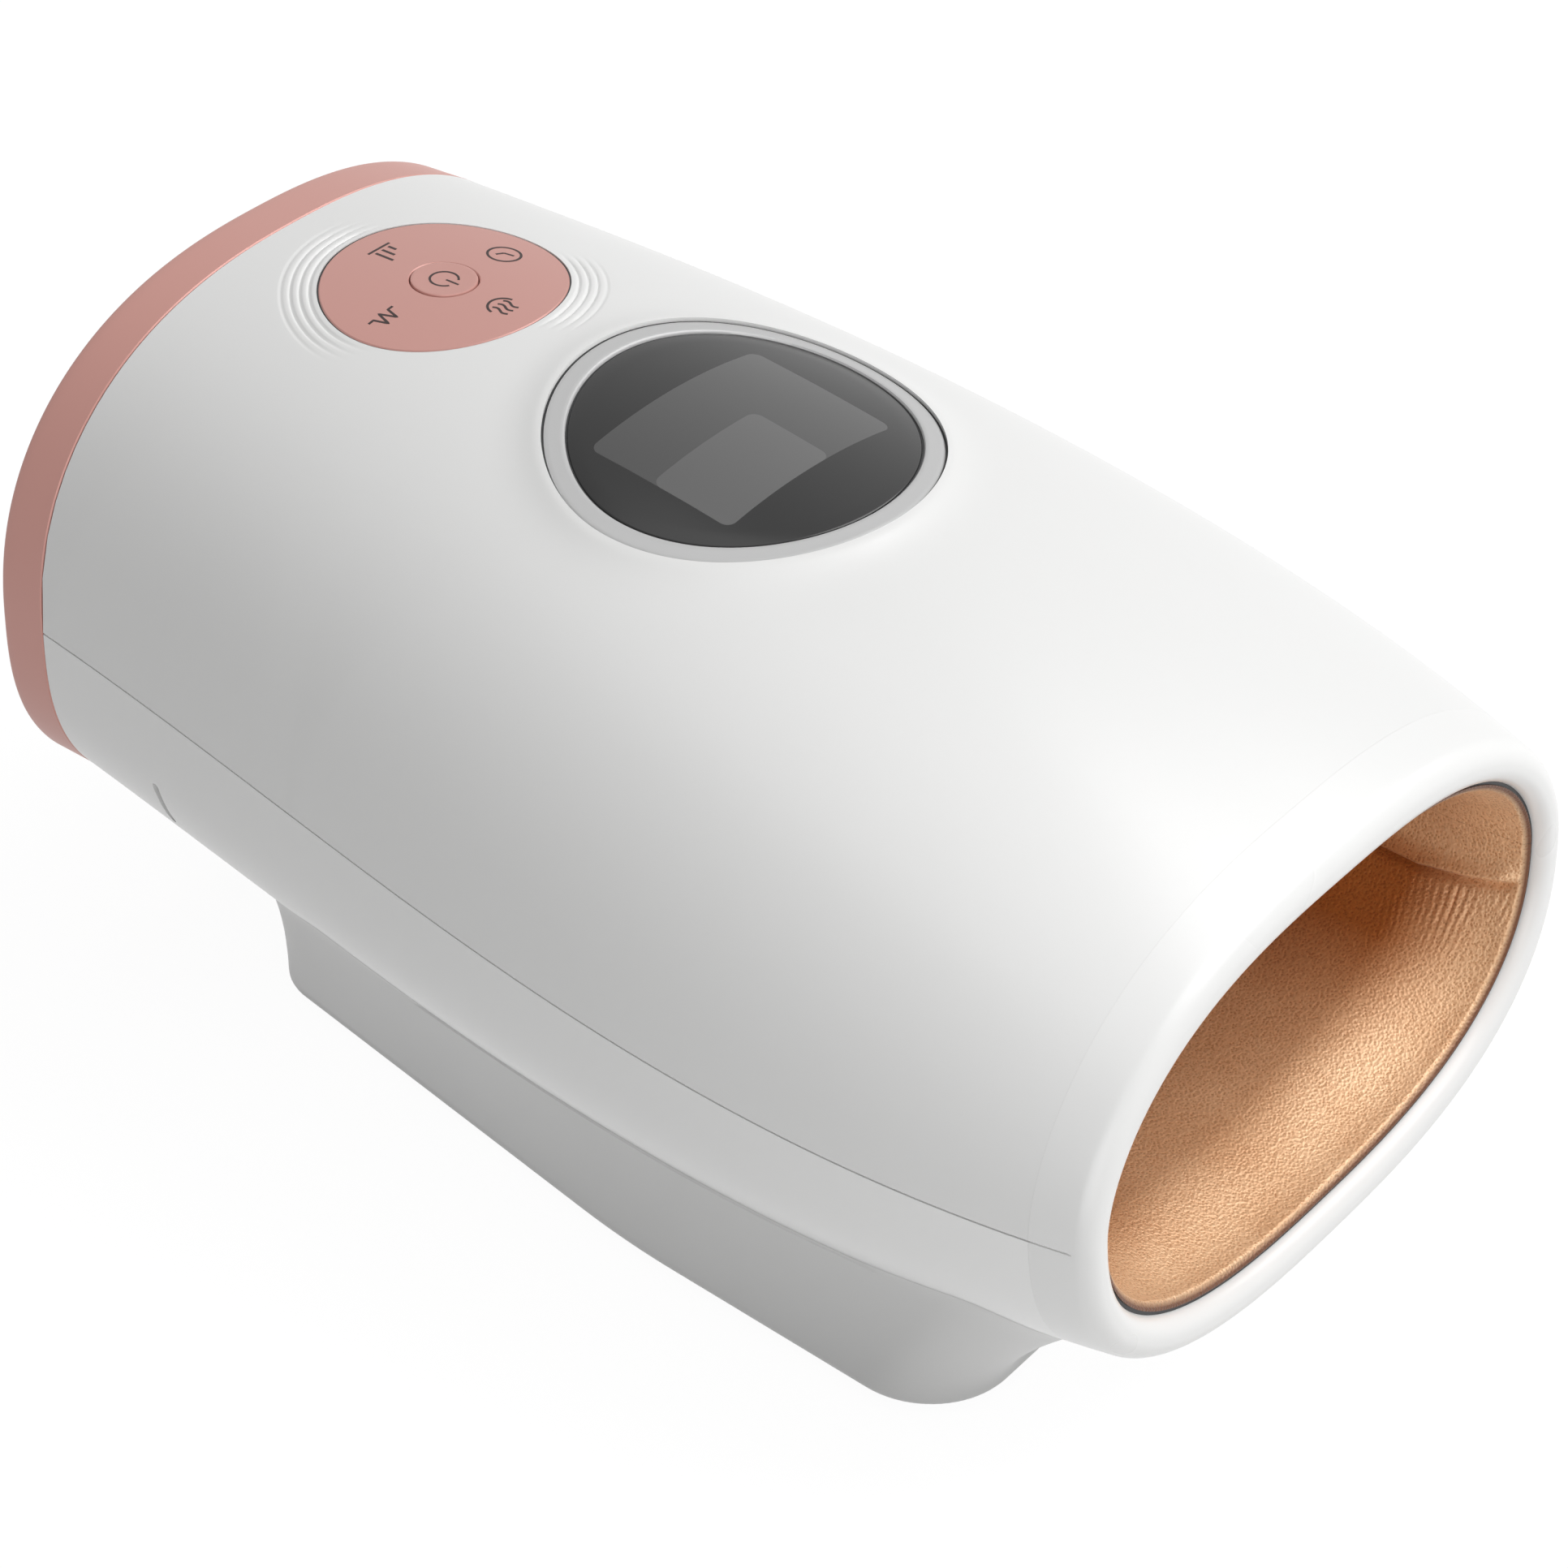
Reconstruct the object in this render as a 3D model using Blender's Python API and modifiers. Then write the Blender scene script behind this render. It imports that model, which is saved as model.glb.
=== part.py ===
"""Cordless air-pressure hand massager, in metres, +Z up.

The hand goes in at the front, -Y, and the trim ring is at the rear, +Y. The origin lies on the
surface that the massager stands on, under the middle of its box. Every layer of the barrel, from
the outer skin to the leather lining, is one section function worked inwards from the skin.
"""

import itertools
import math

import bmesh
import bpy
import numpy as np
from mathutils import Matrix, Vector

# Barrel: overall sizes
LENGTH = 0.210
HALF_WIDTH = 0.0746
HEIGHT = 0.1044
BARREL_LIFT = 0.0130
RING_DEPTH = 0.009
WALL = 0.0025
GAP = 0.0003
RIM_LEAN = math.radians(4.25)
RING_LEAN = math.radians(-0.68)

# Barrel: cubic curves along its length, as shares of the half width and of the height.
# The seam's height counts from the barrel's lift over the table.
HALF_WIDTH_SHARES = (0.880, 1.157, 0.881, 0.819)
CROWN_SHARES = (0.3016, 0.5413, 0.5421, 0.4508)
KEEL_SHARES = (0.35479, 0.42147, 0.48085, 0.42934)
SEAM_SHARES = (0.36228, 0.41401, 0.47429, 0.55098)
# Powers that square or round the section: cubic curves for the crown, and for the keel its values
# at the rim and at the ring
CROWN_X_POWER_SHARES = (0.697, 0.998, 1.131, 0.822)
CROWN_Z_POWER_SHARES = (1.091, 1.243, 0.653, 0.888)
KEEL_X_POWER_SHARES = (0.750, 0.837)
KEEL_Z_POWER_SHARES = (0.848, 0.735)

# Front rim and rear ring
RIM_WIDTH = 0.0059
RIM_DEPTH = 0.0085
RIM_ROUND = 0.0022
RING_WALL = 0.0032
RING_ROUND = 0.0010
RING_TAPER = 0.0003
COVER_WALL = 0.0025
COVER_RECESS = 0.0015
COVER_DISH = 0.0012

# Tunnel: room between the shell and the cradle, then the layers inside the cradle
CRADLE_WALL = 0.0018
CRADLE_SEAM_SHARE = 0.3544
TUNNEL_POWER = 0.92
TOP_ROOM = 0.0274
SIDE_ROOM = 0.0062
FLOOR_ROOM = 0.0013
ROOM_AT_SHARES = (0.0, 0.10, 0.25, 0.49, 0.70, 0.82)
TOP_ROOM_SHARES = (0.086, 0.190, 0.420, 0.819, 0.968, 1.0)
SIDE_ROOM_SHARES = (0.30, 0.60, 1.0, 0.94, 0.75, 0.68)
BAY_LENGTH = 0.036
TUNNEL_END_ROUND = 0.034
END_HOLE_SHARE = 0.10
SIDE_PAD = 0.0029
LINING_WALL = 0.0012
AIRBAG_WALL = 0.0050
HEATER_WALL = 0.0010
CEILING_SLACK = 0.0015
LAYER_GAP = 0.0006
FOAM_WALL = 0.0030
AIRBAG_HALF_ANGLE = math.radians(42)
HEATER_HALF_ANGLE = math.radians(34)
FOAM_HALF_ANGLE = math.radians(48)
AIRBAG_START_SHARE = 0.17
AIRBAG_MARGIN = 0.008
HEATER_SPAN_SHARES = (0.21, 0.60)
FOAM_SPAN_SHARES = (0.21, 0.66)

# Base
BASE_FRONT_HALF = 0.0616
BASE_MIDDLE_HALF = 0.0562
BASE_REAR_HALF = 0.0381
BASE_FRONT_ROUND = 0.0145
BASE_MIDDLE_ROUND = 0.170
BASE_REAR_ROUND = 0.012
BASE_MIDDLE_SHARE = 0.42
BASE_SETBACK = 0.0251
BASE_REAR_SETBACK = 0.0222
BASE_WALL = 0.0022
BASE_EDGE_ROUND = 0.0020
CREASE_SETBACK = 0.0076
CREASE_REAR_SETBACK = 0.0172
BASE_TUCK = 0.0300
BASE_CREASE_SHARE = 0.915
BASE_SINK = 0.0015
BASE_BEND = 0.9
BASE_RISE_SHARES = (0.25, 0.5, 0.75, 1.0)
BASE_PLATE_WALL = 0.0030
FOOT_RADIUS = 0.0060
FOOT_HEIGHT = 0.0006
FOOT_X_SHARE = 0.72
FOOT_REAR_X_SHARE = 0.56
FOOT_INSET = 0.018

# Display
DISPLAY_HALF_WIDTH = 0.0322
DISPLAY_FRONT = 0.0305
DISPLAY_REAR = 0.0276
DISPLAY_PROUD = 0.0003
DISPLAY_SLOPE = math.radians(7.6)
BEZEL_WIDTH = 0.0033
BEZEL_WALL = 0.0022
GLASS_WALL = 0.0018
GLASS_RECESS = 0.0004
DISPLAY_LEDGE = 0.0020
PLINTH_EDGE = 0.0012
PLINTH_FLARE = 0.0075
PLINTH_DROP = 0.0065
LCD_WIDTH = 0.0400
LCD_LENGTH = 0.0280
LCD_WALL = 0.0028
LCD_AHEAD = 0.0013
HEADER_LENGTH = 0.0180
HEADER_WALL = 0.0025

# Control panel and its power button
PANEL_HALF_WIDTH = 0.0204
PANEL_FRONT = 0.0188
PANEL_REAR = 0.0188
PANEL_FROM_RING = 0.0316
PANEL_SPACING = 0.0115
PANEL_WALL = 0.0012
PANEL_LEDGE = 0.0025
PANEL_SLOPE = math.radians(1.2)
BUTTON_RADIUS = 0.0053
BUTTON_CLEARANCE = 0.0004
BUTTON_FLANGE = 0.0012
BUTTON_FLANGE_WALL = 0.0008
BUTTON_PROUD = 0.0003
BUTTON_SKIRT = 0.0022
BUTTON_STEM_RADIUS = 0.0016
BUTTON_STEM = 0.0020
BUTTON_TRAVEL = 0.0006
SWITCH_SIDE = 0.0060
SWITCH_HEIGHT = 0.0035
SWITCH_CAP_RADIUS = 0.00165
BOARD_WALL = 0.0016
KEY_BOARD_WIDTH = 0.0370
KEY_BOARD_LENGTH = 0.0280
POST_RADIUS = 0.0030
SCREW_RADIUS = 0.0013
SCREW_HEAD_RADIUS = 0.0026
SCREW_HEAD = 0.0016
SCREW_LENGTH = 0.0065
SCREW_SINK = 0.0018

# Main board, over the cradle
MAIN_BOARD_WIDTH = 0.0560
MAIN_BOARD_LENGTH = 0.0520
MAIN_BOARD_AHEAD = 0.0015
MAIN_BOARD_DROP = 0.0193
CHIP_SIDE = 0.0100
CHIP_HEIGHT = 0.0016
CHIP_SHARES = ((-0.25, -0.28), (0.22, -0.30), (0.0, 0.38))

# Air pump, valve and hoses, in the rear bay
PUMP_FROM_RING = 0.0160
PUMP_DROP = 0.0066
MOTOR_RADIUS = 0.0100
MOTOR_LENGTH = 0.0250
MOTOR_WALL = 0.0010
ROTOR_CLEARANCE = 0.0010
SHAFT_RADIUS = 0.0010
SHAFT_CLEARANCE = 0.0003
CRANK_RADIUS = 0.0060
CRANK_LENGTH = 0.0040
CRANK_OFFSET = -0.0015
PUMP_HEAD_LENGTH = 0.0200
CRANK_BAY_LENGTH = 0.0105
CRANK_BAY_RADIUS = 0.0085
END_CAP_WALL = 0.0012
NIPPLE_RADIUS = 0.0020
NIPPLE_LENGTH = 0.0055
NIPPLE_SINK = 0.0010
BRACKET_WALL = 0.0015
BRACKET_LENGTH = 0.0400
BRACKET_WIDTH = 0.0200
VALVE_LENGTH = 0.0180
VALVE_SIDE = 0.0120
VALVE_SHIFT = 0.0160
PLUNGER_RADIUS = 0.0030
PLUNGER_CLEARANCE = 0.0004
PLUNGER_LENGTH = 0.0130
PLUNGER_TRAVEL = 0.0008
HOSE_RADIUS = 0.0022

# Battery, in the base
BATTERY_WIDTH = 0.0420
BATTERY_LENGTH = 0.0620
BATTERY_HEIGHT = 0.0080
BATTERY_AHEAD = 0.0120
BATTERY_ROOM = 0.0060
BATTERY_ROUND = 0.0025
LEAD_RADIUS = 0.0012
LEAD_HOLE_RADIUS = 0.0030

# Charging socket, in the bottom shell's side
SOCKET_FROM_RING = 0.0230
SOCKET_DROP_SHARE = 0.4391
SOCKET_TALL = 0.0090
SOCKET_THICK = 0.0032
SOCKET_DEPTH = 0.0090
SOCKET_WALL = 0.0004
SOCKET_RECESS = 0.0028
SOCKET_TONGUE = 0.0007
SOCKET_BOARD_WALL = 0.0012
SOCKET_BOARD_WIDTH = 0.0110
SOCKET_BOARD_HEIGHT = 0.0140

# Ribbon from the key board
RIBBON_WIDTH = 0.0100
RIBBON_WALL = 0.0006

# Counts and margins
TURN_STEPS = 52
HALF_STEPS = 26
LENGTH_STEPS = 10
CRADLE_STEPS = 9
LINING_STEPS = 16
PAD_STEPS = 7
EGG_STEPS = 44
CORNER_STEPS = 5
ROUND_STEPS = 24
BUTTON_STEPS = 32
SMALL_STEPS = 12
GLASS_RING_SHARES = (0.9, 0.6, 0.3, 0.0)
TUBE_SPACING = 0.009
LEAN_TRIES = 6
OVERRUN = 0.004

WHITE = (0.80, 0.80, 0.79)
ROSE_GOLD = (0.56, 0.32, 0.27)
LEATHER = (0.62, 0.38, 0.20)
GREY = (0.50, 0.50, 0.50)
DARK = (0.03, 0.03, 0.035)
GREEN = (0.03, 0.16, 0.08)
STEEL = (0.55, 0.56, 0.58)
RUBBER = (0.08, 0.08, 0.08)
SILICONE = (0.75, 0.74, 0.70)
COPPER = (0.60, 0.28, 0.12)
RED = (0.40, 0.02, 0.02)

massager = bpy.data.collections.new("hand_massager")
cutters = bpy.data.collections.new("cutters")


def clear_scene():
    for old in list(bpy.data.objects):
        bpy.data.objects.remove(old, do_unlink=True)
    bpy.context.scene.collection.children.link(massager)
    bpy.context.scene.collection.children.link(cutters)


def finish(name, color, roughness=0.4, metallic=0.0):
    """A Principled material of this colour for the piece of this name."""
    material = bpy.data.materials.new(name)
    material.use_nodes = True
    shader = material.node_tree.nodes["Principled BSDF"]
    shader.inputs["Base Color"].default_value = (*color, 1.0)
    shader.inputs["Roughness"].default_value = roughness
    shader.inputs["Metallic"].default_value = metallic
    return material


def add_piece(name, mesh, material=None):
    """An object from a mesh: a piece with its material, or a cutter where there is none."""
    piece = bpy.data.objects.new(name, mesh)
    if material is None:
        cutters.objects.link(piece)
        piece.hide_render = True
        piece.display_type = "WIRE"
    else:
        mesh.materials.append(material)
        massager.objects.link(piece)
        mesh.shade_smooth()
        mesh.set_sharp_from_angle(angle=math.radians(35))
    return piece


def mesh_from_bmesh(name, shape):
    mesh = bpy.data.meshes.new(name)
    shape.to_mesh(mesh)
    shape.free()
    return mesh


def box(name, centre, size, material=None, round_edge=0.0):
    shape = bmesh.new()
    bmesh.ops.create_cube(shape, size=1.0)
    bmesh.ops.transform(shape, matrix=Matrix.Diagonal((*size, 1.0)), verts=shape.verts)
    piece = add_piece(name, mesh_from_bmesh(name, shape), material)
    piece.location = centre
    if round_edge > 0:
        bevel = piece.modifiers.new("round_edge", "BEVEL")
        bevel.width = round_edge
        bevel.segments = 2
    return piece


def rod(name, centre, radius, length, axis, material=None, steps=ROUND_STEPS):
    """A cylinder centred there, with its length along the axis X, Y or Z."""
    shape = bmesh.new()
    bmesh.ops.create_cone(
        shape, cap_ends=True, segments=steps, radius1=radius, radius2=radius, depth=length
    )
    piece = add_piece(name, mesh_from_bmesh(name, shape), material)
    piece.location = centre
    quarter = math.pi / 2
    turns = {"X": (0, quarter, 0), "Y": (quarter, 0, 0), "Z": (0, 0, 0)}
    piece.rotation_euler = turns[axis]
    return piece


def turned(name, profile, material, steps=ROUND_STEPS):
    """A turned piece: a profile of (radius, height) points, from the axis down to the axis."""
    mesh = bpy.data.meshes.new(name)
    points = [(radius, 0, height) for radius, height in profile]
    mesh.from_pydata(points, [(i, i + 1) for i in range(len(points) - 1)], [])
    piece = bpy.data.objects.new(name, mesh)
    mesh.materials.append(material)
    massager.objects.link(piece)
    spin = piece.modifiers.new("spin", "SCREW")
    spin.steps = spin.render_steps = steps
    spin.use_merge_vertices = True
    spin.merge_threshold = GAP / 100
    spin.use_smooth_shade = True
    return piece


def place(piece, frame, x, y, z):
    """Sets the piece at this point of a tilted frame, turned with it."""
    turn = piece.rotation_euler.to_matrix().to_4x4()
    piece.matrix_world = frame @ Matrix.Translation((x, y, z)) @ turn
    return piece


def modify(piece, operation, other):
    step = piece.modifiers.new(operation.lower() + "_" + other.name, "BOOLEAN")
    step.operation = operation
    step.object = other
    return piece


def cut(piece, *others):
    for other in others:
        modify(piece, "DIFFERENCE", other)
    return piece


def join(piece, *others):
    for other in others:
        modify(piece, "UNION", other)
    return piece


def plate(name, outline, thickness, material=None):
    """A flat outline, as a filled 2D curve made a mesh, with its top face at z = 0."""
    curve = bpy.data.curves.new(name, "CURVE")
    curve.dimensions = "2D"
    curve.fill_mode = "BOTH"
    curve.extrude = thickness / 2
    spline = curve.splines.new("POLY")
    spline.points.add(len(outline) - 1)
    for point, (x, y) in zip(spline.points, outline):
        point.co = (x, y, 0, 1)
    spline.use_cyclic_u = True
    guide = bpy.data.objects.new(name + "_outline", curve)
    cutters.objects.link(guide)
    bpy.context.view_layer.update()
    graph = bpy.context.evaluated_depsgraph_get()
    mesh = bpy.data.meshes.new_from_object(guide.evaluated_get(graph))
    bpy.data.objects.remove(guide, do_unlink=True)
    shape = bmesh.new()
    shape.from_mesh(mesh)
    bmesh.ops.remove_doubles(shape, verts=shape.verts, dist=GAP / 100)
    for vertex in shape.verts:
        vertex.co.z -= thickness / 2
    bmesh.ops.recalc_face_normals(shape, faces=shape.faces)
    return add_piece(name, mesh_from_bmesh(name, shape), material)


def loft_ring(name, loops, material=None):
    """A closed body from closed loops of points, each joined to the next and the last to the first."""
    count = len(loops[0])
    turns = len(loops)
    points = np.concatenate(loops)
    faces = []
    for row in range(turns):
        following = (row + 1) % turns
        for step in range(count):
            beside = (step + 1) % count
            faces.append(
                (
                    row * count + step,
                    row * count + beside,
                    following * count + beside,
                    following * count + step,
                )
            )
    return add_piece(name, outward_mesh(name, points, faces), material)


def loft_block(name, loops, material=None):
    """A closed body from closed loops of points, with a flat cap on its first and last loop."""
    count = len(loops[0])
    points = np.concatenate(loops)
    faces = []
    for row in range(len(loops) - 1):
        for step in range(count):
            beside = (step + 1) % count
            faces.append(
                (
                    row * count + step,
                    row * count + beside,
                    (row + 1) * count + beside,
                    (row + 1) * count + step,
                )
            )
    faces.append(tuple(range(count)))
    faces.append(tuple(range((len(loops) - 1) * count, len(loops) * count)))
    return add_piece(name, outward_mesh(name, points, faces), material)


def outward_mesh(name, points, faces):
    mesh = bpy.data.meshes.new(name)
    mesh.from_pydata([tuple(point) for point in points], [], faces)
    shape = bmesh.new()
    shape.from_mesh(mesh)
    bmesh.ops.recalc_face_normals(shape, faces=shape.faces)
    shape.to_mesh(mesh)
    shape.free()
    return mesh


def loft_sheet(name, stations, outer_row, inner_row, material):
    """A curved wall: at each station a loop goes out along its outer row and back along its inner."""
    loops = [np.concatenate((outer_row(s), inner_row(s)[::-1])) for s in stations]
    return loft_block(name, loops, material)


def cubic(shares, s):
    """The cubic curve with these four control values, at the share s of the length."""
    a, b, c, d = shares
    return a * (1 - s) ** 3 + 3 * b * s * (1 - s) ** 2 + 3 * c * s**2 * (1 - s) + d * s**3


def between(pair, s):
    return pair[0] * (1 - s) + pair[1] * s


# Places along the barrel, counted from the rim
BARREL_LENGTH = LENGTH - RING_DEPTH
TUNNEL_DEPTH = BARREL_LENGTH - BAY_LENGTH
PANEL_FROM_RIM = BARREL_LENGTH - PANEL_FROM_RING
DISPLAY_FROM_RIM = PANEL_FROM_RIM - PANEL_FRONT - PANEL_SPACING - DISPLAY_REAR
MAIN_BOARD_FROM_RIM = DISPLAY_FROM_RIM - MAIN_BOARD_AHEAD
MAIN_BOARD_END = MAIN_BOARD_FROM_RIM + MAIN_BOARD_LENGTH / 2
INLET_FROM_RIM = MAIN_BOARD_END + 2 * HOSE_RADIUS
PUMP_FROM_RIM = BARREL_LENGTH - PUMP_FROM_RING
SOCKET_FROM_RIM = BARREL_LENGTH - SOCKET_FROM_RING
BASE_LENGTH = BARREL_LENGTH - BASE_SETBACK - BASE_REAR_SETBACK
BATTERY_FROM_RIM = BASE_SETBACK + BASE_LENGTH / 2 - BATTERY_AHEAD

# The rim leans forward at its foot and the ring rearward, so the whole box is centred on Y = 0
FRONT_REACH = math.tan(RIM_LEAN) * KEEL_SHARES[0] * HEIGHT
REAR_REACH = math.tan(-RING_LEAN) * (KEEL_SHARES[-1] * HEIGHT - RING_TAPER)
RIM_Y = -LENGTH / 2 + (FRONT_REACH - REAR_REACH) / 2


def share_at(from_rim):
    """The share of the barrel's length at this distance behind the rim."""
    return from_rim / BARREL_LENGTH


def seam_at(s):
    """The height of the barrel's seam over the table."""
    return BARREL_LIFT + HEIGHT * cubic(SEAM_SHARES, s)


def skin_sizes(s):
    """The skin's section at s: half width, rise over the seam, drop under it, the seam's height,
    then the powers of its crown and of its keel, for the width and for the height."""
    return np.array(
        (
            HALF_WIDTH * cubic(HALF_WIDTH_SHARES, s),
            HEIGHT * cubic(CROWN_SHARES, s),
            HEIGHT * cubic(KEEL_SHARES, s),
            seam_at(s),
            cubic(CROWN_X_POWER_SHARES, s),
            cubic(CROWN_Z_POWER_SHARES, s),
            between(KEEL_X_POWER_SHARES, s),
            between(KEEL_Z_POWER_SHARES, s),
        )
    )


def crown_at(s):
    """The height of the barrel's top line over the table."""
    return seam_at(s) + HEIGHT * cubic(CROWN_SHARES, s)


CRADLE_SEAM = BARREL_LIFT + HEIGHT * CRADLE_SEAM_SHARE
MAIN_BOARD_RISE = crown_at(share_at(DISPLAY_FROM_RIM)) + DISPLAY_PROUD - MAIN_BOARD_DROP
PUMP_RISE = seam_at(share_at(PUMP_FROM_RIM)) - PUMP_DROP
SOCKET_SHARE = share_at(SOCKET_FROM_RIM)
SOCKET_RISE = seam_at(SOCKET_SHARE) - SOCKET_DROP_SHARE * HEIGHT * cubic(KEEL_SHARES, SOCKET_SHARE)


def smaller(sizes, inset):
    """The same section, drawn in by this much all round."""
    return sizes - np.array((inset, inset, inset, 0, 0, 0, 0, 0))


def room(size, shares, s):
    return size * np.interp(s, ROOM_AT_SHARES, shares)


def cradle_sizes(s):
    """The cradle's outer sizes: the skin's, less the wall and the room kept for what lies there."""
    half, crown, keel, seam = skin_sizes(s)[:4]
    top = seam + crown - WALL - room(TOP_ROOM, TOP_ROOM_SHARES, s)
    bottom = seam - keel + WALL + FLOOR_ROOM
    side = half - WALL - room(SIDE_ROOM, SIDE_ROOM_SHARES, s)
    powers = [TUNNEL_POWER] * 4
    return np.array((side, top - CRADLE_SEAM, CRADLE_SEAM - bottom, CRADLE_SEAM, *powers))


CEILING_STACK = 3 * LAYER_GAP + AIRBAG_WALL + HEATER_WALL + CEILING_SLACK
FLOOR_STACK = 2 * LAYER_GAP + FOAM_WALL


def lining_sizes(s):
    """The lining's outer sizes: the rim's opening at the front, then inside the cradle's layers."""
    rim_share = share_at(RIM_DEPTH)
    mouth = smaller(skin_sizes(0), RIM_WIDTH + 2 * GAP)
    stack = (SIDE_PAD, CEILING_STACK, FLOOR_STACK, 0, 0, 0, 0, 0)
    inside = smaller(cradle_sizes(s), CRADLE_WALL) - np.array(stack)
    blend = min(max((s - rim_share / 2) / (2 * rim_share), 0.0), 1.0)
    blend = blend * blend * (3 - 2 * blend)
    return mouth * (1 - blend) + inside * blend


def section(sizes, s, angle, inset=0.0, offset_y=0.0):
    """The point of a layer's section at this angle, in the leaning plane at s.

    The half width goes with a power of the cosine, and the height with a power of the sine.
    """
    half, crown, keel, seam = smaller(sizes, inset)[:4]
    cosine, sine = math.cos(angle), math.sin(angle)
    over = sine >= 0
    x_power, z_power = sizes[4:6] if over else sizes[6:8]
    x = half * math.copysign(abs(cosine) ** x_power, cosine)
    z = seam + (crown if over else keel) * math.copysign(abs(sine) ** z_power, sine)
    lean = between((RIM_LEAN, RING_LEAN), s)
    y = RIM_Y + s * BARREL_LENGTH + offset_y + math.tan(lean) * (z - seam_at(s))
    return np.array((x, y, z))


def full_loop(sizes, s, inset=0.0, offset_y=0.0):
    angles = [2 * math.pi * step / TURN_STEPS for step in range(TURN_STEPS)]
    return np.array([section(sizes, s, angle, inset, offset_y) for angle in angles])


def arc_row(sizes, s, low, high, steps, inset=0.0):
    angles = np.linspace(low, high, steps + 1)
    return np.array([section(sizes, s, angle, inset) for angle in angles])


def half_row(sizes, s, over, steps, inset=0.0):
    """The section's upper or lower half, which stops half a gap from the seam."""
    reach, power = (sizes[1], sizes[5]) if over else (sizes[2], sizes[7])
    start = math.asin((GAP / 2 / (reach - inset)) ** (1 / power))
    if over:
        return arc_row(sizes, s, start, math.pi - start, steps, inset)
    return arc_row(sizes, s, math.pi + start, 2 * math.pi - start, steps, inset)


def height_at(x, sizes, under=False):
    """The height of a section's crown, or of its keel, at this x."""
    half, crown, keel, seam = sizes[:4]
    x_power, z_power = sizes[6:8] if under else sizes[4:6]
    cosine = min((abs(x) / half) ** (1 / x_power), 1.0)
    rise = (1 - cosine**2) ** (z_power / 2)
    return seam - keel * rise if under else seam + crown * rise


def skin_height(x, y):
    """The height of the barrel's crown over this point of the plan, in its leaning planes."""
    s = share_at(y - RIM_Y)
    for step in range(LEAN_TRIES):
        rise = height_at(x, skin_sizes(s)) - seam_at(s)
        lean = between((RIM_LEAN, RING_LEAN), s)
        s = share_at(y - RIM_Y - math.tan(lean) * rise)
    return height_at(x, skin_sizes(s))


def flank_at(z, sizes):
    """The half width of a section's keel at this height."""
    half, keel, seam = sizes[0], sizes[2], sizes[3]
    sine = ((seam - z) / keel) ** (1 / sizes[7])
    return half * (1 - sine**2) ** (sizes[6] / 2)


def egg(half_width, front, rear, grow=0.0):
    """An egg outline: two half ellipses that meet at its widest line, y = 0."""
    points = []
    for step in range(EGG_STEPS):
        angle = 2 * math.pi * step / EGG_STEPS
        reach = (rear if math.sin(angle) >= 0 else front) + grow
        points.append(((half_width + grow) * math.cos(angle), reach * math.sin(angle)))
    return points


def rounded_polygon(corners, radii, steps):
    """A polygon, listed anticlockwise, with each corner an arc of its own radius."""
    points = []
    count = len(corners)
    for index, (corner, radius) in enumerate(zip(corners, radii)):
        corner = Vector(corner)
        before = (Vector(corners[index - 1]) - corner).normalized()
        after = (Vector(corners[(index + 1) % count]) - corner).normalized()
        half_angle = math.acos(max(-1.0, min(1.0, before.dot(after)))) / 2
        run = radius / math.tan(half_angle)
        centre = corner + (before + after).normalized() * (radius / math.sin(half_angle))
        first = corner + before * run - centre
        last = corner + after * run - centre
        sweep = first.angle(last)
        turn = math.copysign(1, first.x * last.y - first.y * last.x)
        for step in range(steps + 1):
            angle = turn * sweep * step / steps
            cosine, sine = math.cos(angle), math.sin(angle)
            x = first.x * cosine - first.y * sine
            y = first.x * sine + first.y * cosine
            points.append((centre.x + x, centre.y + y))
    return points


def smooth_path(points, spacing):
    """A Catmull-Rom curve through the points, read every so often."""
    points = [Vector(point) for point in points]
    ends = [2 * points[0] - points[1], *points, 2 * points[-1] - points[-2]]
    found = [points[0]]
    for before, start, end, after in zip(ends, ends[1:], ends[2:], ends[3:]):
        steps = max(1, round((end - start).length / spacing))
        for step in range(1, steps + 1):
            t = step / steps
            found.append(
                0.5
                * (
                    2 * start
                    + (end - before) * t
                    + (2 * before - 5 * start + 4 * end - after) * t**2
                    + (3 * start - before - 3 * end + after) * t**3
                )
            )
    return found


def tube(name, points, radius, material):
    curve = bpy.data.curves.new(name, "CURVE")
    curve.dimensions = "3D"
    curve.bevel_depth = radius
    curve.bevel_resolution = 2
    curve.use_fill_caps = True
    spline = curve.splines.new("POLY")
    path = smooth_path(points, TUBE_SPACING)
    spline.points.add(len(path) - 1)
    for point, place in zip(spline.points, path):
        point.co = (*place, 1)
    piece = bpy.data.objects.new(name, curve)
    curve.materials.append(material)
    massager.objects.link(piece)
    return piece


# Shells of the barrel


SHELL_STATIONS = np.linspace(share_at(RIM_DEPTH + GAP), 1 - share_at(GAP), LENGTH_STEPS + 1)


def barrel_block(name, inset):
    """The shell's whole volume, drawn in by this much, as a cutter."""
    return loft_block(name, [full_loop(skin_sizes(s), s, inset) for s in SHELL_STATIONS])


def shell_half(name, over):
    """Half of the barrel's shell, from behind the rim to before the trim ring."""
    return loft_sheet(
        name,
        SHELL_STATIONS,
        lambda s: half_row(skin_sizes(s), s, over, HALF_STEPS),
        lambda s: half_row(skin_sizes(s), s, over, HALF_STEPS, WALL),
        finish(name, WHITE, 0.28),
    )


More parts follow.
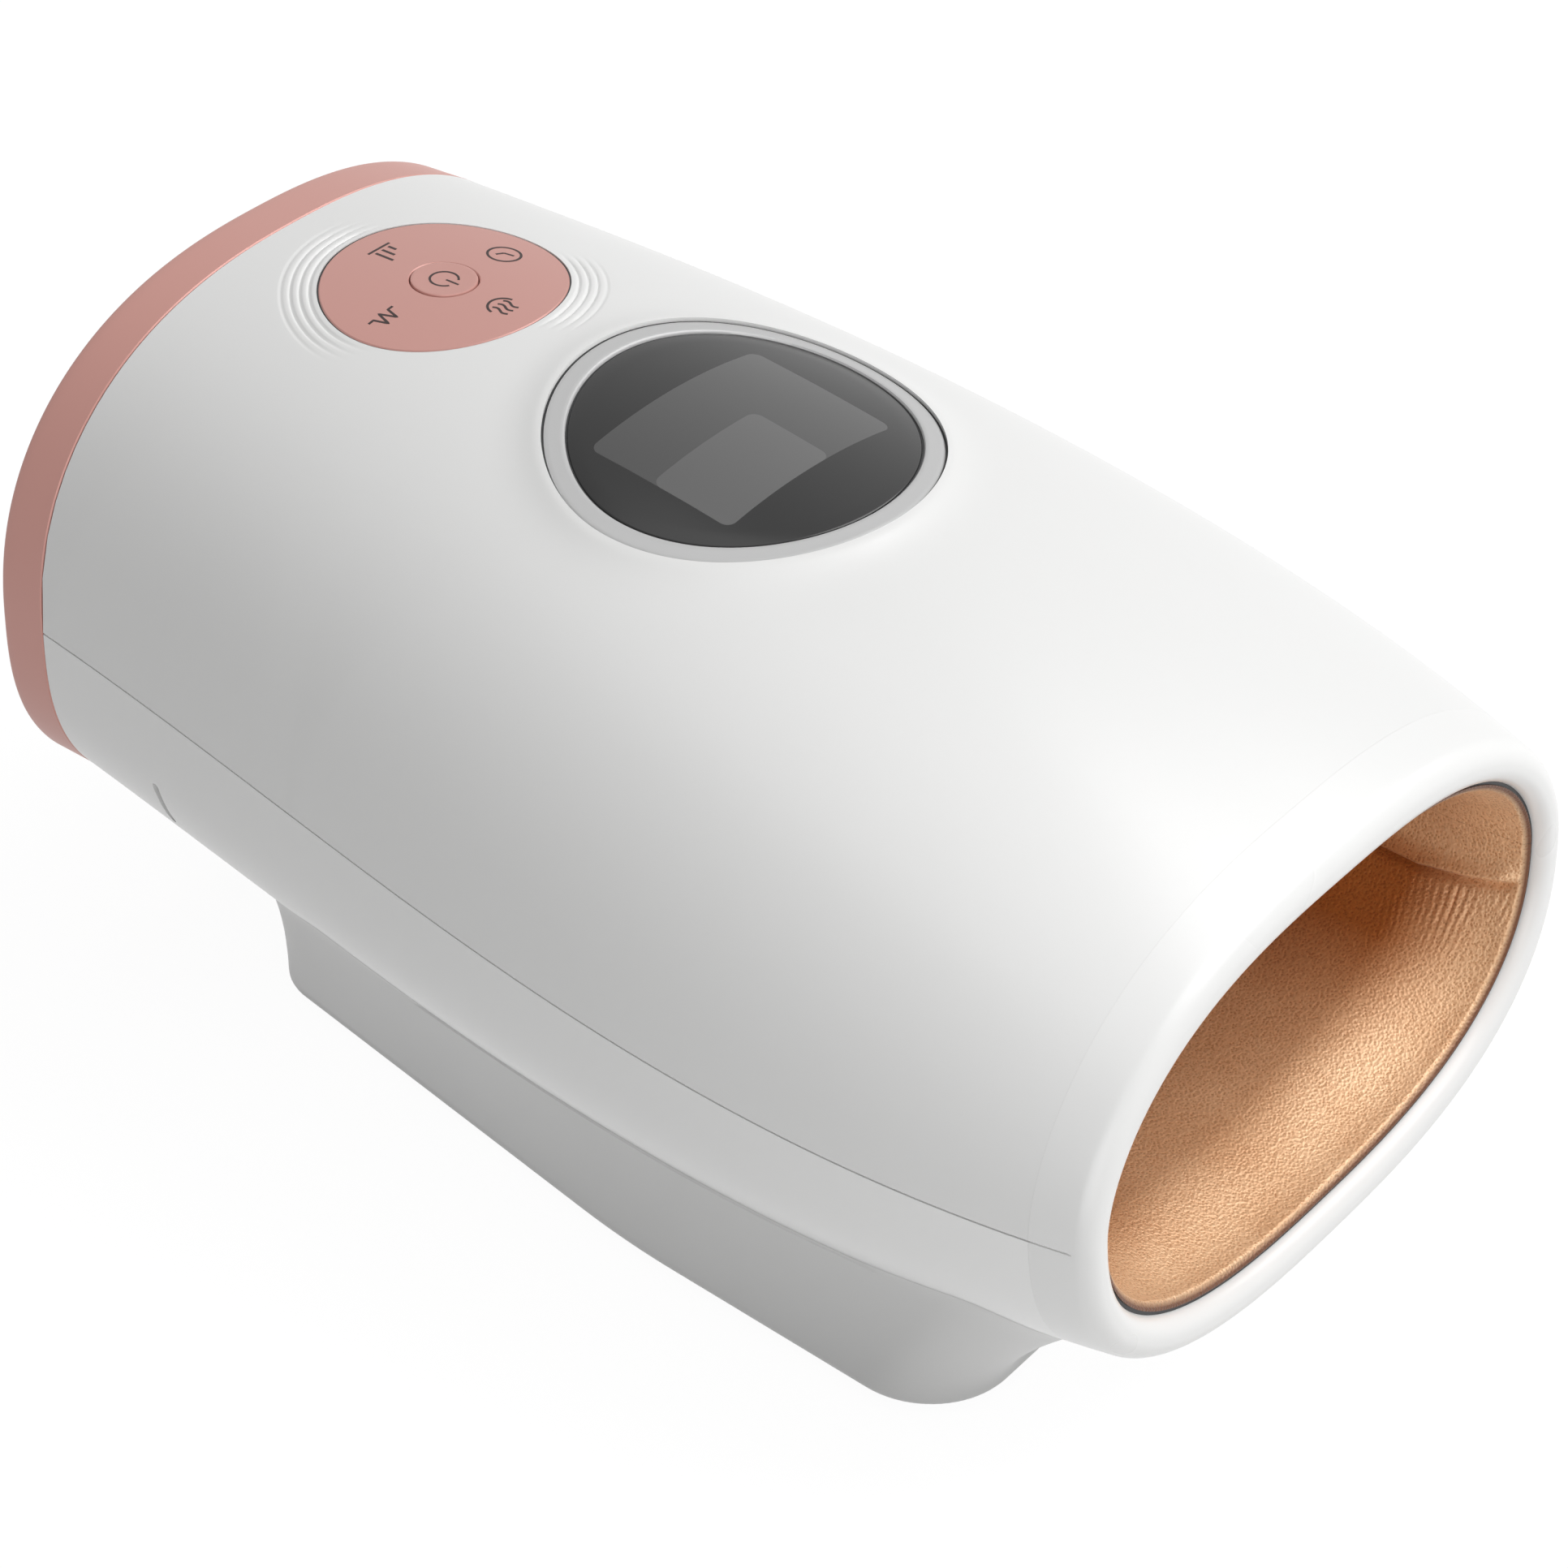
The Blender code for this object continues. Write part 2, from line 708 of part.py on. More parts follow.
def front_rim():
    """The rounded white ring round the opening."""
    back = share_at(RIM_DEPTH)
    profile = []
    for step in range(3):
        angle = math.pi / 4 * step
        profile.append((RIM_ROUND * (1 - math.cos(angle)), RIM_ROUND * (1 - math.sin(angle))))
    outer = [full_loop(skin_sizes(share_at(RIM_DEPTH)), back)]
    for inset, depth in profile:
        s = share_at(depth)
        outer.append(full_loop(skin_sizes(s), s, inset))
    inner = []
    for inset, depth in reversed(profile):
        s = share_at(depth)
        inner.append(full_loop(skin_sizes(0), s, RIM_WIDTH - inset))
    inner.append(full_loop(skin_sizes(0), back, RIM_WIDTH))
    return loft_ring("front_rim", outer + inner, finish("front_rim", WHITE, 0.22))


def rear_ring():
    """The rose gold ring that closes the barrel's rear edge."""
    sizes = skin_sizes(1)
    round_start = RING_DEPTH - RING_ROUND
    outer = [
        full_loop(sizes, 1, 0.0),
        full_loop(sizes, 1, RING_TAPER * round_start / RING_DEPTH, round_start),
        full_loop(sizes, 1, RING_TAPER + RING_ROUND / 3, RING_DEPTH - RING_ROUND / 3),
        full_loop(sizes, 1, RING_TAPER + RING_ROUND, RING_DEPTH),
    ]
    inner = [
        full_loop(sizes, 1, RING_TAPER + RING_WALL, RING_DEPTH),
        full_loop(sizes, 1, RING_WALL, 0.0),
    ]
    return loft_ring("rear_ring", outer + inner, finish("rear_ring", ROSE_GOLD, 0.3, 0.6))


def rear_cover():
    """The slightly domed plate inside the ring."""
    sizes = skin_sizes(1)
    edge = RING_TAPER + RING_WALL + GAP
    front = RING_DEPTH - COVER_RECESS - COVER_WALL
    back = RING_DEPTH - COVER_RECESS
    half = sizes[0]
    dome = half / 3
    loops = [
        full_loop(sizes, 1, edge, front),
        full_loop(sizes, 1, edge, back - COVER_DISH / 2),
        full_loop(sizes, 1, edge + COVER_DISH, back),
        full_loop(sizes, 1, edge + dome, back + COVER_DISH),
    ]
    return loft_block("rear_cover", loops, finish("rear_cover", WHITE, 0.3))


# Cradle, airbag, pads and lining


def cradle_half(name, over):
    start = RIM_DEPTH * 3 / 2
    return loft_sheet(
        name,
        np.linspace(share_at(start), share_at(TUNNEL_DEPTH), CRADLE_STEPS),
        lambda s: half_row(cradle_sizes(s), s, over, HALF_STEPS // 2),
        lambda s: half_row(cradle_sizes(s), s, over, HALF_STEPS // 2, CRADLE_WALL),
        finish(name, GREY, 0.5),
    )


def bag_scale(s):
    """One along the tunnel, then falling on a quarter circle round its closed end."""
    end = share_at(TUNNEL_DEPTH - GAP * 10)
    start = end - share_at(TUNNEL_END_ROUND)
    if s <= start:
        return 1.0
    return math.sqrt(max(1 - ((s - start) / (end - start)) ** 2, 0.0))


def lining_stations():
    end = share_at(TUNNEL_DEPTH - GAP * 10)
    start = end - share_at(TUNNEL_END_ROUND)
    straight = [share_at(RIM_ROUND), share_at(RIM_DEPTH)]
    straight += list(np.linspace(2 * share_at(RIM_DEPTH), start, 7))
    last = math.acos(END_HOLE_SHARE)
    turns = np.linspace(0, last, 6)[1:]
    return straight + [start + (end - start) * math.sin(turn) for turn in turns]


def lining_half(name, over):
    def row(s, inset):
        scales = [bag_scale(s)] * 3 + [1] * 5
        return half_row(lining_sizes(s) * scales, s, over, LINING_STEPS, inset * bag_scale(s))

    return loft_sheet(
        name,
        lining_stations(),
        lambda s: row(s, 0.0),
        lambda s: row(s, LINING_WALL),
        finish(name, LEATHER, 0.45),
    )


def layer_over_lining(name, lift, thickness, span_shares, half_angle, material, over=True):
    """A pad over the lining's ceiling or under its floor, lifted off it and thin at its edges."""
    middle = math.pi / 2 if over else 3 * math.pi / 2
    low, high = middle - half_angle, middle + half_angle

    def row(s, rise):
        lifted = lining_sizes(s) + np.array((0, rise, rise, 0, 0, 0, 0, 0))
        return arc_row(lifted, s, low, high, 2 * PAD_STEPS)

    return loft_sheet(
        name,
        np.linspace(*span_shares, PAD_STEPS),
        lambda s: row(s, lift + thickness),
        lambda s: row(s, lift),
        material,
    )


# Base


def base_outline(grow=0.0):
    """The base's outline seen from above: a long trapezium with bowed sides and round corners."""
    near = RIM_Y + BASE_SETBACK - grow
    far = RIM_Y + BASE_SETBACK + BASE_LENGTH + grow
    middle = RIM_Y + BASE_SETBACK + BASE_LENGTH * BASE_MIDDLE_SHARE
    right = [
        (BASE_FRONT_HALF + grow, near),
        (BASE_MIDDLE_HALF + grow, middle),
        (BASE_REAR_HALF + grow, far),
    ]
    corners = right + [(-x, y) for x, y in reversed(right)]
    radii = [BASE_FRONT_ROUND + grow, BASE_MIDDLE_ROUND, BASE_REAR_ROUND + grow]
    return rounded_polygon(corners, radii + radii[::-1], CORNER_STEPS)


def base_half_width(y):
    """The base's half width at this y, as its straight-sided corners give it."""
    near = RIM_Y + BASE_SETBACK
    stations = (near, near + BASE_LENGTH * BASE_MIDDLE_SHARE, near + BASE_LENGTH)
    return np.interp(y, stations, (BASE_FRONT_HALF, BASE_MIDDLE_HALF, BASE_REAR_HALF))


def base_top(x, y, inset):
    """The place on the barrel's keel that the base's wall reaches from this bottom point."""
    near = RIM_Y + BASE_SETBACK
    along = (y - near) / BASE_LENGTH
    across = max(-1.0, min(1.0, x / base_half_width(y)))
    far = BARREL_LENGTH - CREASE_REAR_SETBACK - BASE_TUCK * across**4
    from_rim = between((CREASE_SETBACK, far), along)
    top_y = RIM_Y + from_rim
    s = share_at(from_rim)
    top_x = across * BASE_CREASE_SHARE * skin_sizes(s)[0]
    reach = 1 - inset / math.hypot(top_x, BASE_LENGTH / 2)
    top_x *= reach
    return np.array((top_x, top_y, height_at(top_x, skin_sizes(s), under=True) + BASE_SINK))


def base_wall(inset):
    """Loops of the base's wall from its bottom edge up into the barrel."""
    foot_level = FOOT_HEIGHT + GAP
    loops = []
    edge = BASE_EDGE_ROUND
    outline = base_outline(-inset)
    for turn in (0.0, math.pi / 6, math.pi / 3, math.pi / 2):
        pulled = base_outline(-inset - edge * (1 - math.sin(turn)))
        rise = foot_level + edge * (1 - math.cos(turn))
        loops.append(np.array([(x, y, rise) for x, y in pulled]))
    start = foot_level + edge
    tops = np.array([base_top(x, y, inset) for x, y in outline])
    bottoms = np.array([(x, y, start) for x, y in outline])
    across = np.array([min(abs(x) / base_half_width(y), 1.0) for x, y in outline])
    bend = 1 + BASE_BEND * (1 - across**3)
    for share in BASE_RISE_SHARES:
        out = (share**bend)[:, None]
        row = bottoms + (tops - bottoms) * np.hstack((out, out, np.full_like(out, share)))
        loops.append(row)
    return loops


def base_housing():
    outer = base_wall(0.0)
    inner = base_wall(BASE_WALL)
    piece = loft_ring("base_housing", outer + inner[::-1], finish("base_housing", WHITE, 0.3))
    return cut(piece, barrel_block("barrel_cutter", -GAP))


def foot_places():
    front = RIM_Y + BASE_SETBACK + FOOT_INSET
    rear = RIM_Y + BASE_SETBACK + BASE_LENGTH - FOOT_INSET
    x_front = BASE_FRONT_HALF * FOOT_X_SHARE
    x_rear = BASE_FRONT_HALF * FOOT_REAR_X_SHARE * BASE_REAR_HALF / BASE_MIDDLE_HALF
    return {
        "front_left": (-x_front, front),
        "front_right": (x_front, front),
        "rear_left": (-x_rear, rear),
        "rear_right": (x_rear, rear),
    }


def base_plate_and_feet():
    level = FOOT_HEIGHT + GAP
    inset = BASE_WALL + BASE_EDGE_ROUND + GAP
    piece = plate(
        "base_plate", base_outline(-inset), BASE_PLATE_WALL, finish("base_plate", WHITE, 0.45)
    )
    piece.location.z = level + BASE_PLATE_WALL
    for place, (x, y) in foot_places().items():
        name = "rubber_foot_" + place
        middle = (x, y, FOOT_HEIGHT / 2)
        rod(name, middle, FOOT_RADIUS, FOOT_HEIGHT, "Z", finish(name, RUBBER, 0.8))
    return piece


# Display


def tilted_frame(from_rim, lift, slope):
    """A frame this far over the crown's top line, its Y axis rising to the rear by the slope."""
    y = RIM_Y + from_rim
    return Matrix.Translation((0, y, skin_height(0, y) + lift)) @ Matrix.Rotation(slope, 4, "X")


def display_egg(grow):
    return egg(DISPLAY_HALF_WIDTH, DISPLAY_FRONT, DISPLAY_REAR, grow)


def display_loop(grow, lift):
    """The display's outline, grown by this much, at this height over the barrel's crown."""
    y = RIM_Y + DISPLAY_FROM_RIM
    return np.array([(x, y + v, skin_height(x, y + v) + lift) for x, v in display_egg(grow)])


def display_ring(name, profile, material=None):
    """A ring that follows the crown, from a profile of (growth, height) points."""
    return loft_ring(name, [display_loop(grow, lift) for grow, lift in profile], material)


def egg_prism(name, outline, top, bottom, frame, material=None):
    """An egg-shaped block between two heights of a frame."""
    piece = plate(name, outline, top - bottom, material)
    return place(piece, frame, 0, 0, top)


def build_display(top_shell, frame):
    top = DISPLAY_PROUD
    low = top - BEZEL_WALL
    hole = -BEZEL_WIDTH - DISPLAY_LEDGE
    inside = hole - DISPLAY_LEDGE
    plinth = display_ring(
        "display_plinth",
        [(PLINTH_FLARE, -PLINTH_DROP), (PLINTH_EDGE, top), (inside, top), (inside, -PLINTH_DROP)],
    )
    over = top + OVERRUN
    within = hole - DISPLAY_LEDGE / 2
    pocket = display_ring(
        "bezel_pocket", [(GAP, low - GAP), (GAP, over), (within, over), (within, low - GAP)]
    )
    opening = egg_prism("lcd_opening", display_egg(hole), OVERRUN, -4 * OVERRUN, frame)
    join(top_shell, plinth)
    cut(top_shell, pocket, opening)

    display_ring(
        "display_bezel",
        [(0, low), (0, top), (-BEZEL_WIDTH, top), (-BEZEL_WIDTH, low)],
        finish("display_bezel", GREY, 0.35, 0.4),
    )
    edge = -BEZEL_WIDTH - GAP
    grows = [edge - share * (DISPLAY_REAR + edge) for share in GLASS_RING_SHARES]
    glass_top = top - GLASS_RECESS
    lower = [display_loop(grow, glass_top - GLASS_WALL) for grow in grows]
    upper = [display_loop(grow, glass_top) for grow in grows]
    loft_block("display_window", lower + upper[::-1], finish("display_window", DARK, 0.08))

    under = frame.inverted()
    corners = []
    for x, v in itertools.product((0, LCD_WIDTH / 2), (-LCD_LENGTH / 2, LCD_LENGTH / 2)):
        y = frame.translation.y - LCD_AHEAD + v
        corners.append((under @ Vector((x, y, skin_height(x, y) + glass_top))).z)
    lcd_top = min(corners) - GLASS_WALL - GAP
    lcd = box("lcd_module", (0, 0, 0), (LCD_WIDTH, LCD_LENGTH, LCD_WALL), finish("lcd_module", DARK))
    place(lcd, frame, 0, -LCD_AHEAD, lcd_top - LCD_WALL / 2)
    return lcd_top - LCD_WALL


# Control panel, its button and the key board under it


def panel_egg(grow):
    return egg(PANEL_HALF_WIDTH, PANEL_FRONT, PANEL_REAR, grow)


def post_between(name, x, y, low, high):
    """An upright post to be joined to a piece."""
    middle = (x, y, (low + high) / 2)
    return rod(name, middle, POST_RADIUS, high - low, "Z", steps=SMALL_STEPS)


def pilot_hole(name, x=0, y=0, low=-2 * SCREW_LENGTH, high=2 * SCREW_LENGTH):
    """A cutter for a screw's shank."""
    middle = (x, y, (low + high) / 2)
    return rod(name, middle, SCREW_RADIUS + GAP, high - low, "Z", steps=SMALL_STEPS)


def screw(name, frame, x, y, z, up=True):
    """A pan-head screw with its head's seat at this point and its shank going into the frame."""
    profile = [
        (0, SCREW_HEAD),
        (SCREW_HEAD_RADIUS - SCREW_HEAD / 2, SCREW_HEAD),
        (SCREW_HEAD_RADIUS, 0),
        (SCREW_RADIUS, 0),
        (SCREW_RADIUS, -SCREW_LENGTH),
        (0, -SCREW_LENGTH - SCREW_RADIUS),
    ]
    piece = turned(name, profile, finish(name, STEEL, 0.35, 1.0), SMALL_STEPS)
    if not up:
        piece.rotation_euler = (math.pi, 0, 0)
    return place(piece, frame, x, y, z)


def build_panel(top_shell, frame):
    deep = 5 * OVERRUN
    crown = barrel_block("panel_crown", 0.0)
    under_panel = barrel_block("panel_underside", PANEL_WALL)
    under_pocket = barrel_block("pocket_floor", PANEL_WALL + GAP)
    pocket = cut(egg_prism("panel_pocket", panel_egg(GAP), deep, -deep, frame), under_pocket)
    opening = egg_prism("board_opening", panel_egg(-PANEL_LEDGE), deep, -deep, frame)
    cut(top_shell, pocket, opening)

    panel = egg_prism(
        "control_panel", panel_egg(0), deep, -deep, frame, finish("control_panel", ROSE_GOLD, 0.35, 0.3)
    )
    modify(panel, "INTERSECT", crown)
    hole_radius = BUTTON_RADIUS + BUTTON_CLEARANCE
    hole = rod("button_hole", (0, 0, 0), hole_radius, 2 * deep, "Z", steps=BUTTON_STEPS)
    cut(panel, under_panel, place(hole, frame, 0, 0, 0))

    flange_top = -BUTTON_SKIRT
    flange_low = flange_top - BUTTON_FLANGE_WALL
    flange_radius = BUTTON_RADIUS + BUTTON_FLANGE
    stem_end = flange_low - BUTTON_STEM
    profile = [
        (0, BUTTON_PROUD),
        (BUTTON_RADIUS - GAP, BUTTON_PROUD),
        (BUTTON_RADIUS, BUTTON_PROUD - GAP),
        (BUTTON_RADIUS, flange_top),
        (flange_radius, flange_top),
        (flange_radius, flange_low),
        (BUTTON_STEM_RADIUS, flange_low),
        (BUTTON_STEM_RADIUS, stem_end),
        (0, stem_end),
    ]
    rose_gold = finish("power_button", ROSE_GOLD, 0.35, 0.3)
    button = turned("power_button", profile, rose_gold, BUTTON_STEPS)
    place(button, frame, 0, 0, 0)

    switch_top = stem_end - BUTTON_TRAVEL - GAP
    board_top = switch_top - SWITCH_HEIGHT
    body_height = SWITCH_HEIGHT * 2 / 3
    switch = box(
        "tact_switch", (0, 0, 0), (SWITCH_SIDE, SWITCH_SIDE, body_height), finish("tact_switch", DARK)
    )
    place(switch, frame, 0, 0, board_top + GAP + body_height / 2)
    cap_height = SWITCH_HEIGHT - GAP - body_height / 2
    cap = rod("switch_cap", (0, 0, 0), SWITCH_CAP_RADIUS, cap_height, "Z", steps=SMALL_STEPS)
    join(switch, place(cap, frame, 0, 0, switch_top - cap_height / 2))

    board = box(
        "key_board",
        (0, 0, 0),
        (KEY_BOARD_WIDTH, KEY_BOARD_LENGTH, BOARD_WALL),
        finish("key_board", GREEN, 0.5),
    )
    place(board, frame, 0, 0, board_top - BOARD_WALL / 2)
    post_x = KEY_BOARD_WIDTH / 2 - POST_RADIUS
    post_y = PANEL_FRONT / 2
    ledge_middle = barrel_block("ledge_middle", (PANEL_WALL + GAP + WALL) / 2)
    for index, side in enumerate((-1, 1)):
        x = side * post_x
        y = -side * post_y
        post = post_between("key_post_" + str(index), 0, 0, board_top + GAP, 0)
        place(post, frame, x, y, (board_top + GAP) / 2)
        join(top_shell, modify(post, "INTERSECT", ledge_middle))
        pilot = pilot_hole("key_pilot_" + str(index))
        cut(board, place(pilot, frame, x, y, board_top))
        cut(top_shell, pilot)
        head_seat = board_top - BOARD_WALL - GAP
        screw("key_board_screw_" + str(index + 1), frame, x, y, head_seat, up=False)
    return board_top - BOARD_WALL


# Main board, over the upper cradle


def build_main_board(upper_cradle, lcd_frame, lcd_low):
    y = RIM_Y + MAIN_BOARD_FROM_RIM
    size = (MAIN_BOARD_WIDTH, MAIN_BOARD_LENGTH, BOARD_WALL)
    board = box("main_board", (0, y, MAIN_BOARD_RISE), size, finish("main_board", GREEN, 0.5))
    top = MAIN_BOARD_RISE + BOARD_WALL / 2
    low = MAIN_BOARD_RISE - BOARD_WALL / 2
    for index, (across, along) in enumerate(CHIP_SHARES):
        place_of_chip = (
            MAIN_BOARD_WIDTH * across,
            y + MAIN_BOARD_LENGTH * along,
            top + CHIP_HEIGHT / 2 - GAP,
        )
        chip_size = (CHIP_SIDE, CHIP_SIDE, CHIP_HEIGHT)
        join(board, box("chip_" + str(index), place_of_chip, chip_size))
    ground = Matrix.Identity(4)
    post_x = MAIN_BOARD_WIDTH / 2 - POST_RADIUS
    post_y = MAIN_BOARD_LENGTH / 2 - POST_RADIUS
    corners = [(i * post_x, j * post_y) for i in (-1, 1) for j in (-1, 1)]
    for index, (x, along) in enumerate(corners):
        s = share_at(MAIN_BOARD_FROM_RIM + along)
        foot = height_at(abs(x) + POST_RADIUS, smaller(cradle_sizes(s), CRADLE_WALL / 2))
        rise = low - GAP
        join(upper_cradle, post_between("board_post_" + str(index), x, y + along, foot, rise))
        deep = top - SCREW_LENGTH - SCREW_RADIUS
        pilot = pilot_hole("board_pilot_" + str(index), x, y + along, deep, top + OVERRUN)
        cut(board, pilot)
        cut(upper_cradle, pilot)
        screw("board_screw_" + str(index + 1), ground, x, y + along, top + GAP)
    foot_of_lcd = lcd_frame @ Vector((0, -LCD_AHEAD, lcd_low))
    header_top = foot_of_lcd.z - GAP - HEADER_WALL * math.tan(DISPLAY_SLOPE)
    header_low = top + GAP
    box(
        "display_header",
        (0, foot_of_lcd.y, (header_top + header_low) / 2),
        (HEADER_LENGTH, HEADER_WALL, header_top - header_low),
        finish("display_header", DARK),
    )


# Air pump, valve and hoses


def build_pump(bottom_shell):
    y = RIM_Y + PUMP_FROM_RIM
    z = PUMP_RISE
    can_open = -END_CAP_WALL - GAP
    can_end = can_open - MOTOR_LENGTH
    steel = finish("motor_can", STEEL, 0.3, 1.0)
    can = rod("motor_can", ((can_open + can_end) / 2, y, z), MOTOR_RADIUS, MOTOR_LENGTH, "X", steel)
    bore = rod(
        "can_bore",
        (can_end + MOTOR_WALL + MOTOR_LENGTH / 2, y, z),
        MOTOR_RADIUS - MOTOR_WALL,
        MOTOR_LENGTH,
        "X",
    )
    cut(can, bore)
    cap = rod(
        "motor_end_cap",
        (-END_CAP_WALL / 2, y, z),
        MOTOR_RADIUS,
        END_CAP_WALL,
        "X",
        finish("motor_end_cap", DARK),
    )
    cap_bore_radius = SHAFT_RADIUS + SHAFT_CLEARANCE
    cut(cap, rod("cap_bore", (0, y, z), cap_bore_radius, 2 * OVERRUN, "X", steps=SMALL_STEPS))

    armature_end = can_end + MOTOR_WALL + ROTOR_CLEARANCE
    armature_open = can_open - ROTOR_CLEARANCE
    rotor = rod(
        "motor_rotor",
        ((armature_end + armature_open) / 2, y, z),
        MOTOR_RADIUS - MOTOR_WALL - ROTOR_CLEARANCE,
        armature_open - armature_end,
        "X",
        finish("motor_rotor", COPPER, 0.4, 0.8),
    )
    shaft_tip = 2 * GAP + CRANK_LENGTH + SHAFT_RADIUS
    shaft_start = armature_open - OVERRUN
    shaft = rod(
        "motor_shaft",
        ((shaft_tip + shaft_start) / 2, y, z),
        SHAFT_RADIUS,
        shaft_tip - shaft_start,
        "X",
        steps=SMALL_STEPS,
    )
    join(rotor, shaft)
    crank = rod(
        "pump_crank",
        (2 * GAP + CRANK_LENGTH / 2, y, z + CRANK_OFFSET),
        CRANK_RADIUS,
        CRANK_LENGTH,
        "X",
        finish("pump_crank", GREY),
    )
    cut(crank, rod("crank_bore", (0, y, z), cap_bore_radius, 4 * OVERRUN, "X", steps=SMALL_STEPS))

    side = 2 * MOTOR_RADIUS
    head = box(
        "pump_head",
        (GAP + PUMP_HEAD_LENGTH / 2, y, z),
        (PUMP_HEAD_LENGTH, side, side),
        finish("pump_head", DARK, 0.5),
    )
    bay_start = -OVERRUN
    bay_end = GAP + CRANK_BAY_LENGTH
    crank_bay = rod(
        "crank_bay", ((bay_start + bay_end) / 2, y, z), CRANK_BAY_RADIUS, bay_end - bay_start, "X"
    )
    cut(head, crank_bay)
    top = z + MOTOR_RADIUS
    outlets = (PUMP_HEAD_LENGTH / 3, PUMP_HEAD_LENGTH * 3 / 4)
    for index, x in enumerate(outlets):
        middle = top + (NIPPLE_LENGTH - NIPPLE_SINK) / 2
        nipple = rod(
            "outlet_" + str(index),
            (x, y, middle),
            NIPPLE_RADIUS,
            NIPPLE_LENGTH + NIPPLE_SINK,
            "Z",
            steps=SMALL_STEPS,
        )
        join(head, nipple)

    bracket_z = z - MOTOR_RADIUS - GAP - BRACKET_WALL / 2
    bracket_x = (can_end + PUMP_HEAD_LENGTH) / 2
    box(
        "pump_bracket",
        (bracket_x, y, bracket_z),
        (BRACKET_LENGTH, BRACKET_WIDTH, BRACKET_WALL),
        finish("pump_bracket", STEEL, 0.4, 1.0),
    )
    sizes = smaller(skin_sizes(share_at(PUMP_FROM_RIM)), WALL / 2)
    for index, side_of in enumerate((-1, 1)):
        x = bracket_x + side_of * (BRACKET_LENGTH / 2 - 2 * POST_RADIUS)
        foot = height_at(abs(x) + POST_RADIUS, sizes, under=True)
        rise = bracket_z - BRACKET_WALL / 2 - GAP
        join(bottom_shell, post_between("bracket_post_" + str(index), x, y, foot, rise))
    return [Vector((x, y, top + NIPPLE_LENGTH)) for x in outlets]


def build_valve():
    y = RIM_Y + PUMP_FROM_RIM
    z = PUMP_RISE + MOTOR_RADIUS + GAP + VALVE_SIDE / 2
    body = box(
        "valve_body",
        (-VALVE_SHIFT, y, z),
        (VALVE_LENGTH, VALVE_SIDE, VALVE_SIDE),
        finish("valve_body", STEEL, 0.4, 0.8),
    )
    open_end = -VALVE_SHIFT + VALVE_LENGTH / 2
    bore_depth = PLUNGER_LENGTH + PLUNGER_TRAVEL + 2 * GAP
    bore_radius = PLUNGER_RADIUS + PLUNGER_CLEARANCE
    bore_middle = open_end - bore_depth / 2 + OVERRUN / 2
    cut(body, rod("valve_bore", (bore_middle, y, z), bore_radius, bore_depth + OVERRUN, "X"))
    plunger_middle = open_end - bore_depth + GAP + PLUNGER_LENGTH / 2
    rod(
        "valve_plunger",
        (plunger_middle, y, z),
        PLUNGER_RADIUS,
        PLUNGER_LENGTH,
        "X",
        finish("valve_plunger", STEEL, 0.2, 1.0),
    )
    top = z + VALVE_SIDE / 2
    middle = top + (NIPPLE_LENGTH - NIPPLE_SINK) / 2
    length = NIPPLE_LENGTH + NIPPLE_SINK
    nipple = rod("valve_port", (-VALVE_SHIFT, y, middle), NIPPLE_RADIUS, length, "Z", steps=SMALL_STEPS)
    join(body, nipple)
    return Vector((-VALVE_SHIFT, y, top + NIPPLE_LENGTH))


def build_air_inlet(airbag, upper_cradle):
    """The airbag's inlet, which comes up through a hole in the cradle behind the main board."""
    s = share_at(INLET_FROM_RIM)
    x = MAIN_BOARD_WIDTH / 3
    y = RIM_Y + INLET_FROM_RIM
    low = height_at(x, lining_sizes(s)) + HEATER_WALL + AIRBAG_WALL
    high = height_at(x, cradle_sizes(s)) + NIPPLE_LENGTH
    inlet = rod("inlet", (x, y, (low + high) / 2), NIPPLE_RADIUS, high - low, "Z", steps=SMALL_STEPS)
    join(airbag, inlet)
    radius = NIPPLE_RADIUS + 2 * GAP
    hole_z = height_at(x, cradle_sizes(s))
    cut(upper_cradle, rod("inlet_hole", (x, y, hole_z), radius, 4 * OVERRUN, "Z"))
    return Vector((x, y, high))


def build_hoses(outlets, valve_port, inlet):
    up = Vector((0, 0, 1))
    lift = 3 * HOSE_RADIUS
    silicone = finish("air_hose", SILICONE, 0.35)
    start = outlets[1] + up * GAP
    end = inlet + up * GAP
    back = Vector((0, lift, 0))
    middle = (start + end) / 2
    crest = height_at(middle.x, cradle_sizes(share_at(TUNNEL_DEPTH))) + lift
    over = [
        start,
        start + up * lift,
        start + up * 2 * lift - back / 2,
        Vector((middle.x, middle.y, max(crest, middle.z + lift))),
        end + up * 1.5 * lift + back,
        end + up * lift,
        end,
    ]
    tube("air_hose", over, HOSE_RADIUS, silicone)
    start = outlets[0] + up * GAP
    end = valve_port + up * GAP
    high = max(start.z, end.z) + lift
    middle = (start.x + end.x) / 2
    arch = [
        start,
        start + up * lift,
        Vector((start.x, start.y, high - lift / 2)),
        Vector((middle, start.y, high + lift / 2)),
        Vector((end.x, end.y, high - lift / 2)),
        end,
    ]
    tube("relief_hose", arch, HOSE_RADIUS, finish("relief_hose", SILICONE, 0.35))


# Battery in the base, and its lead


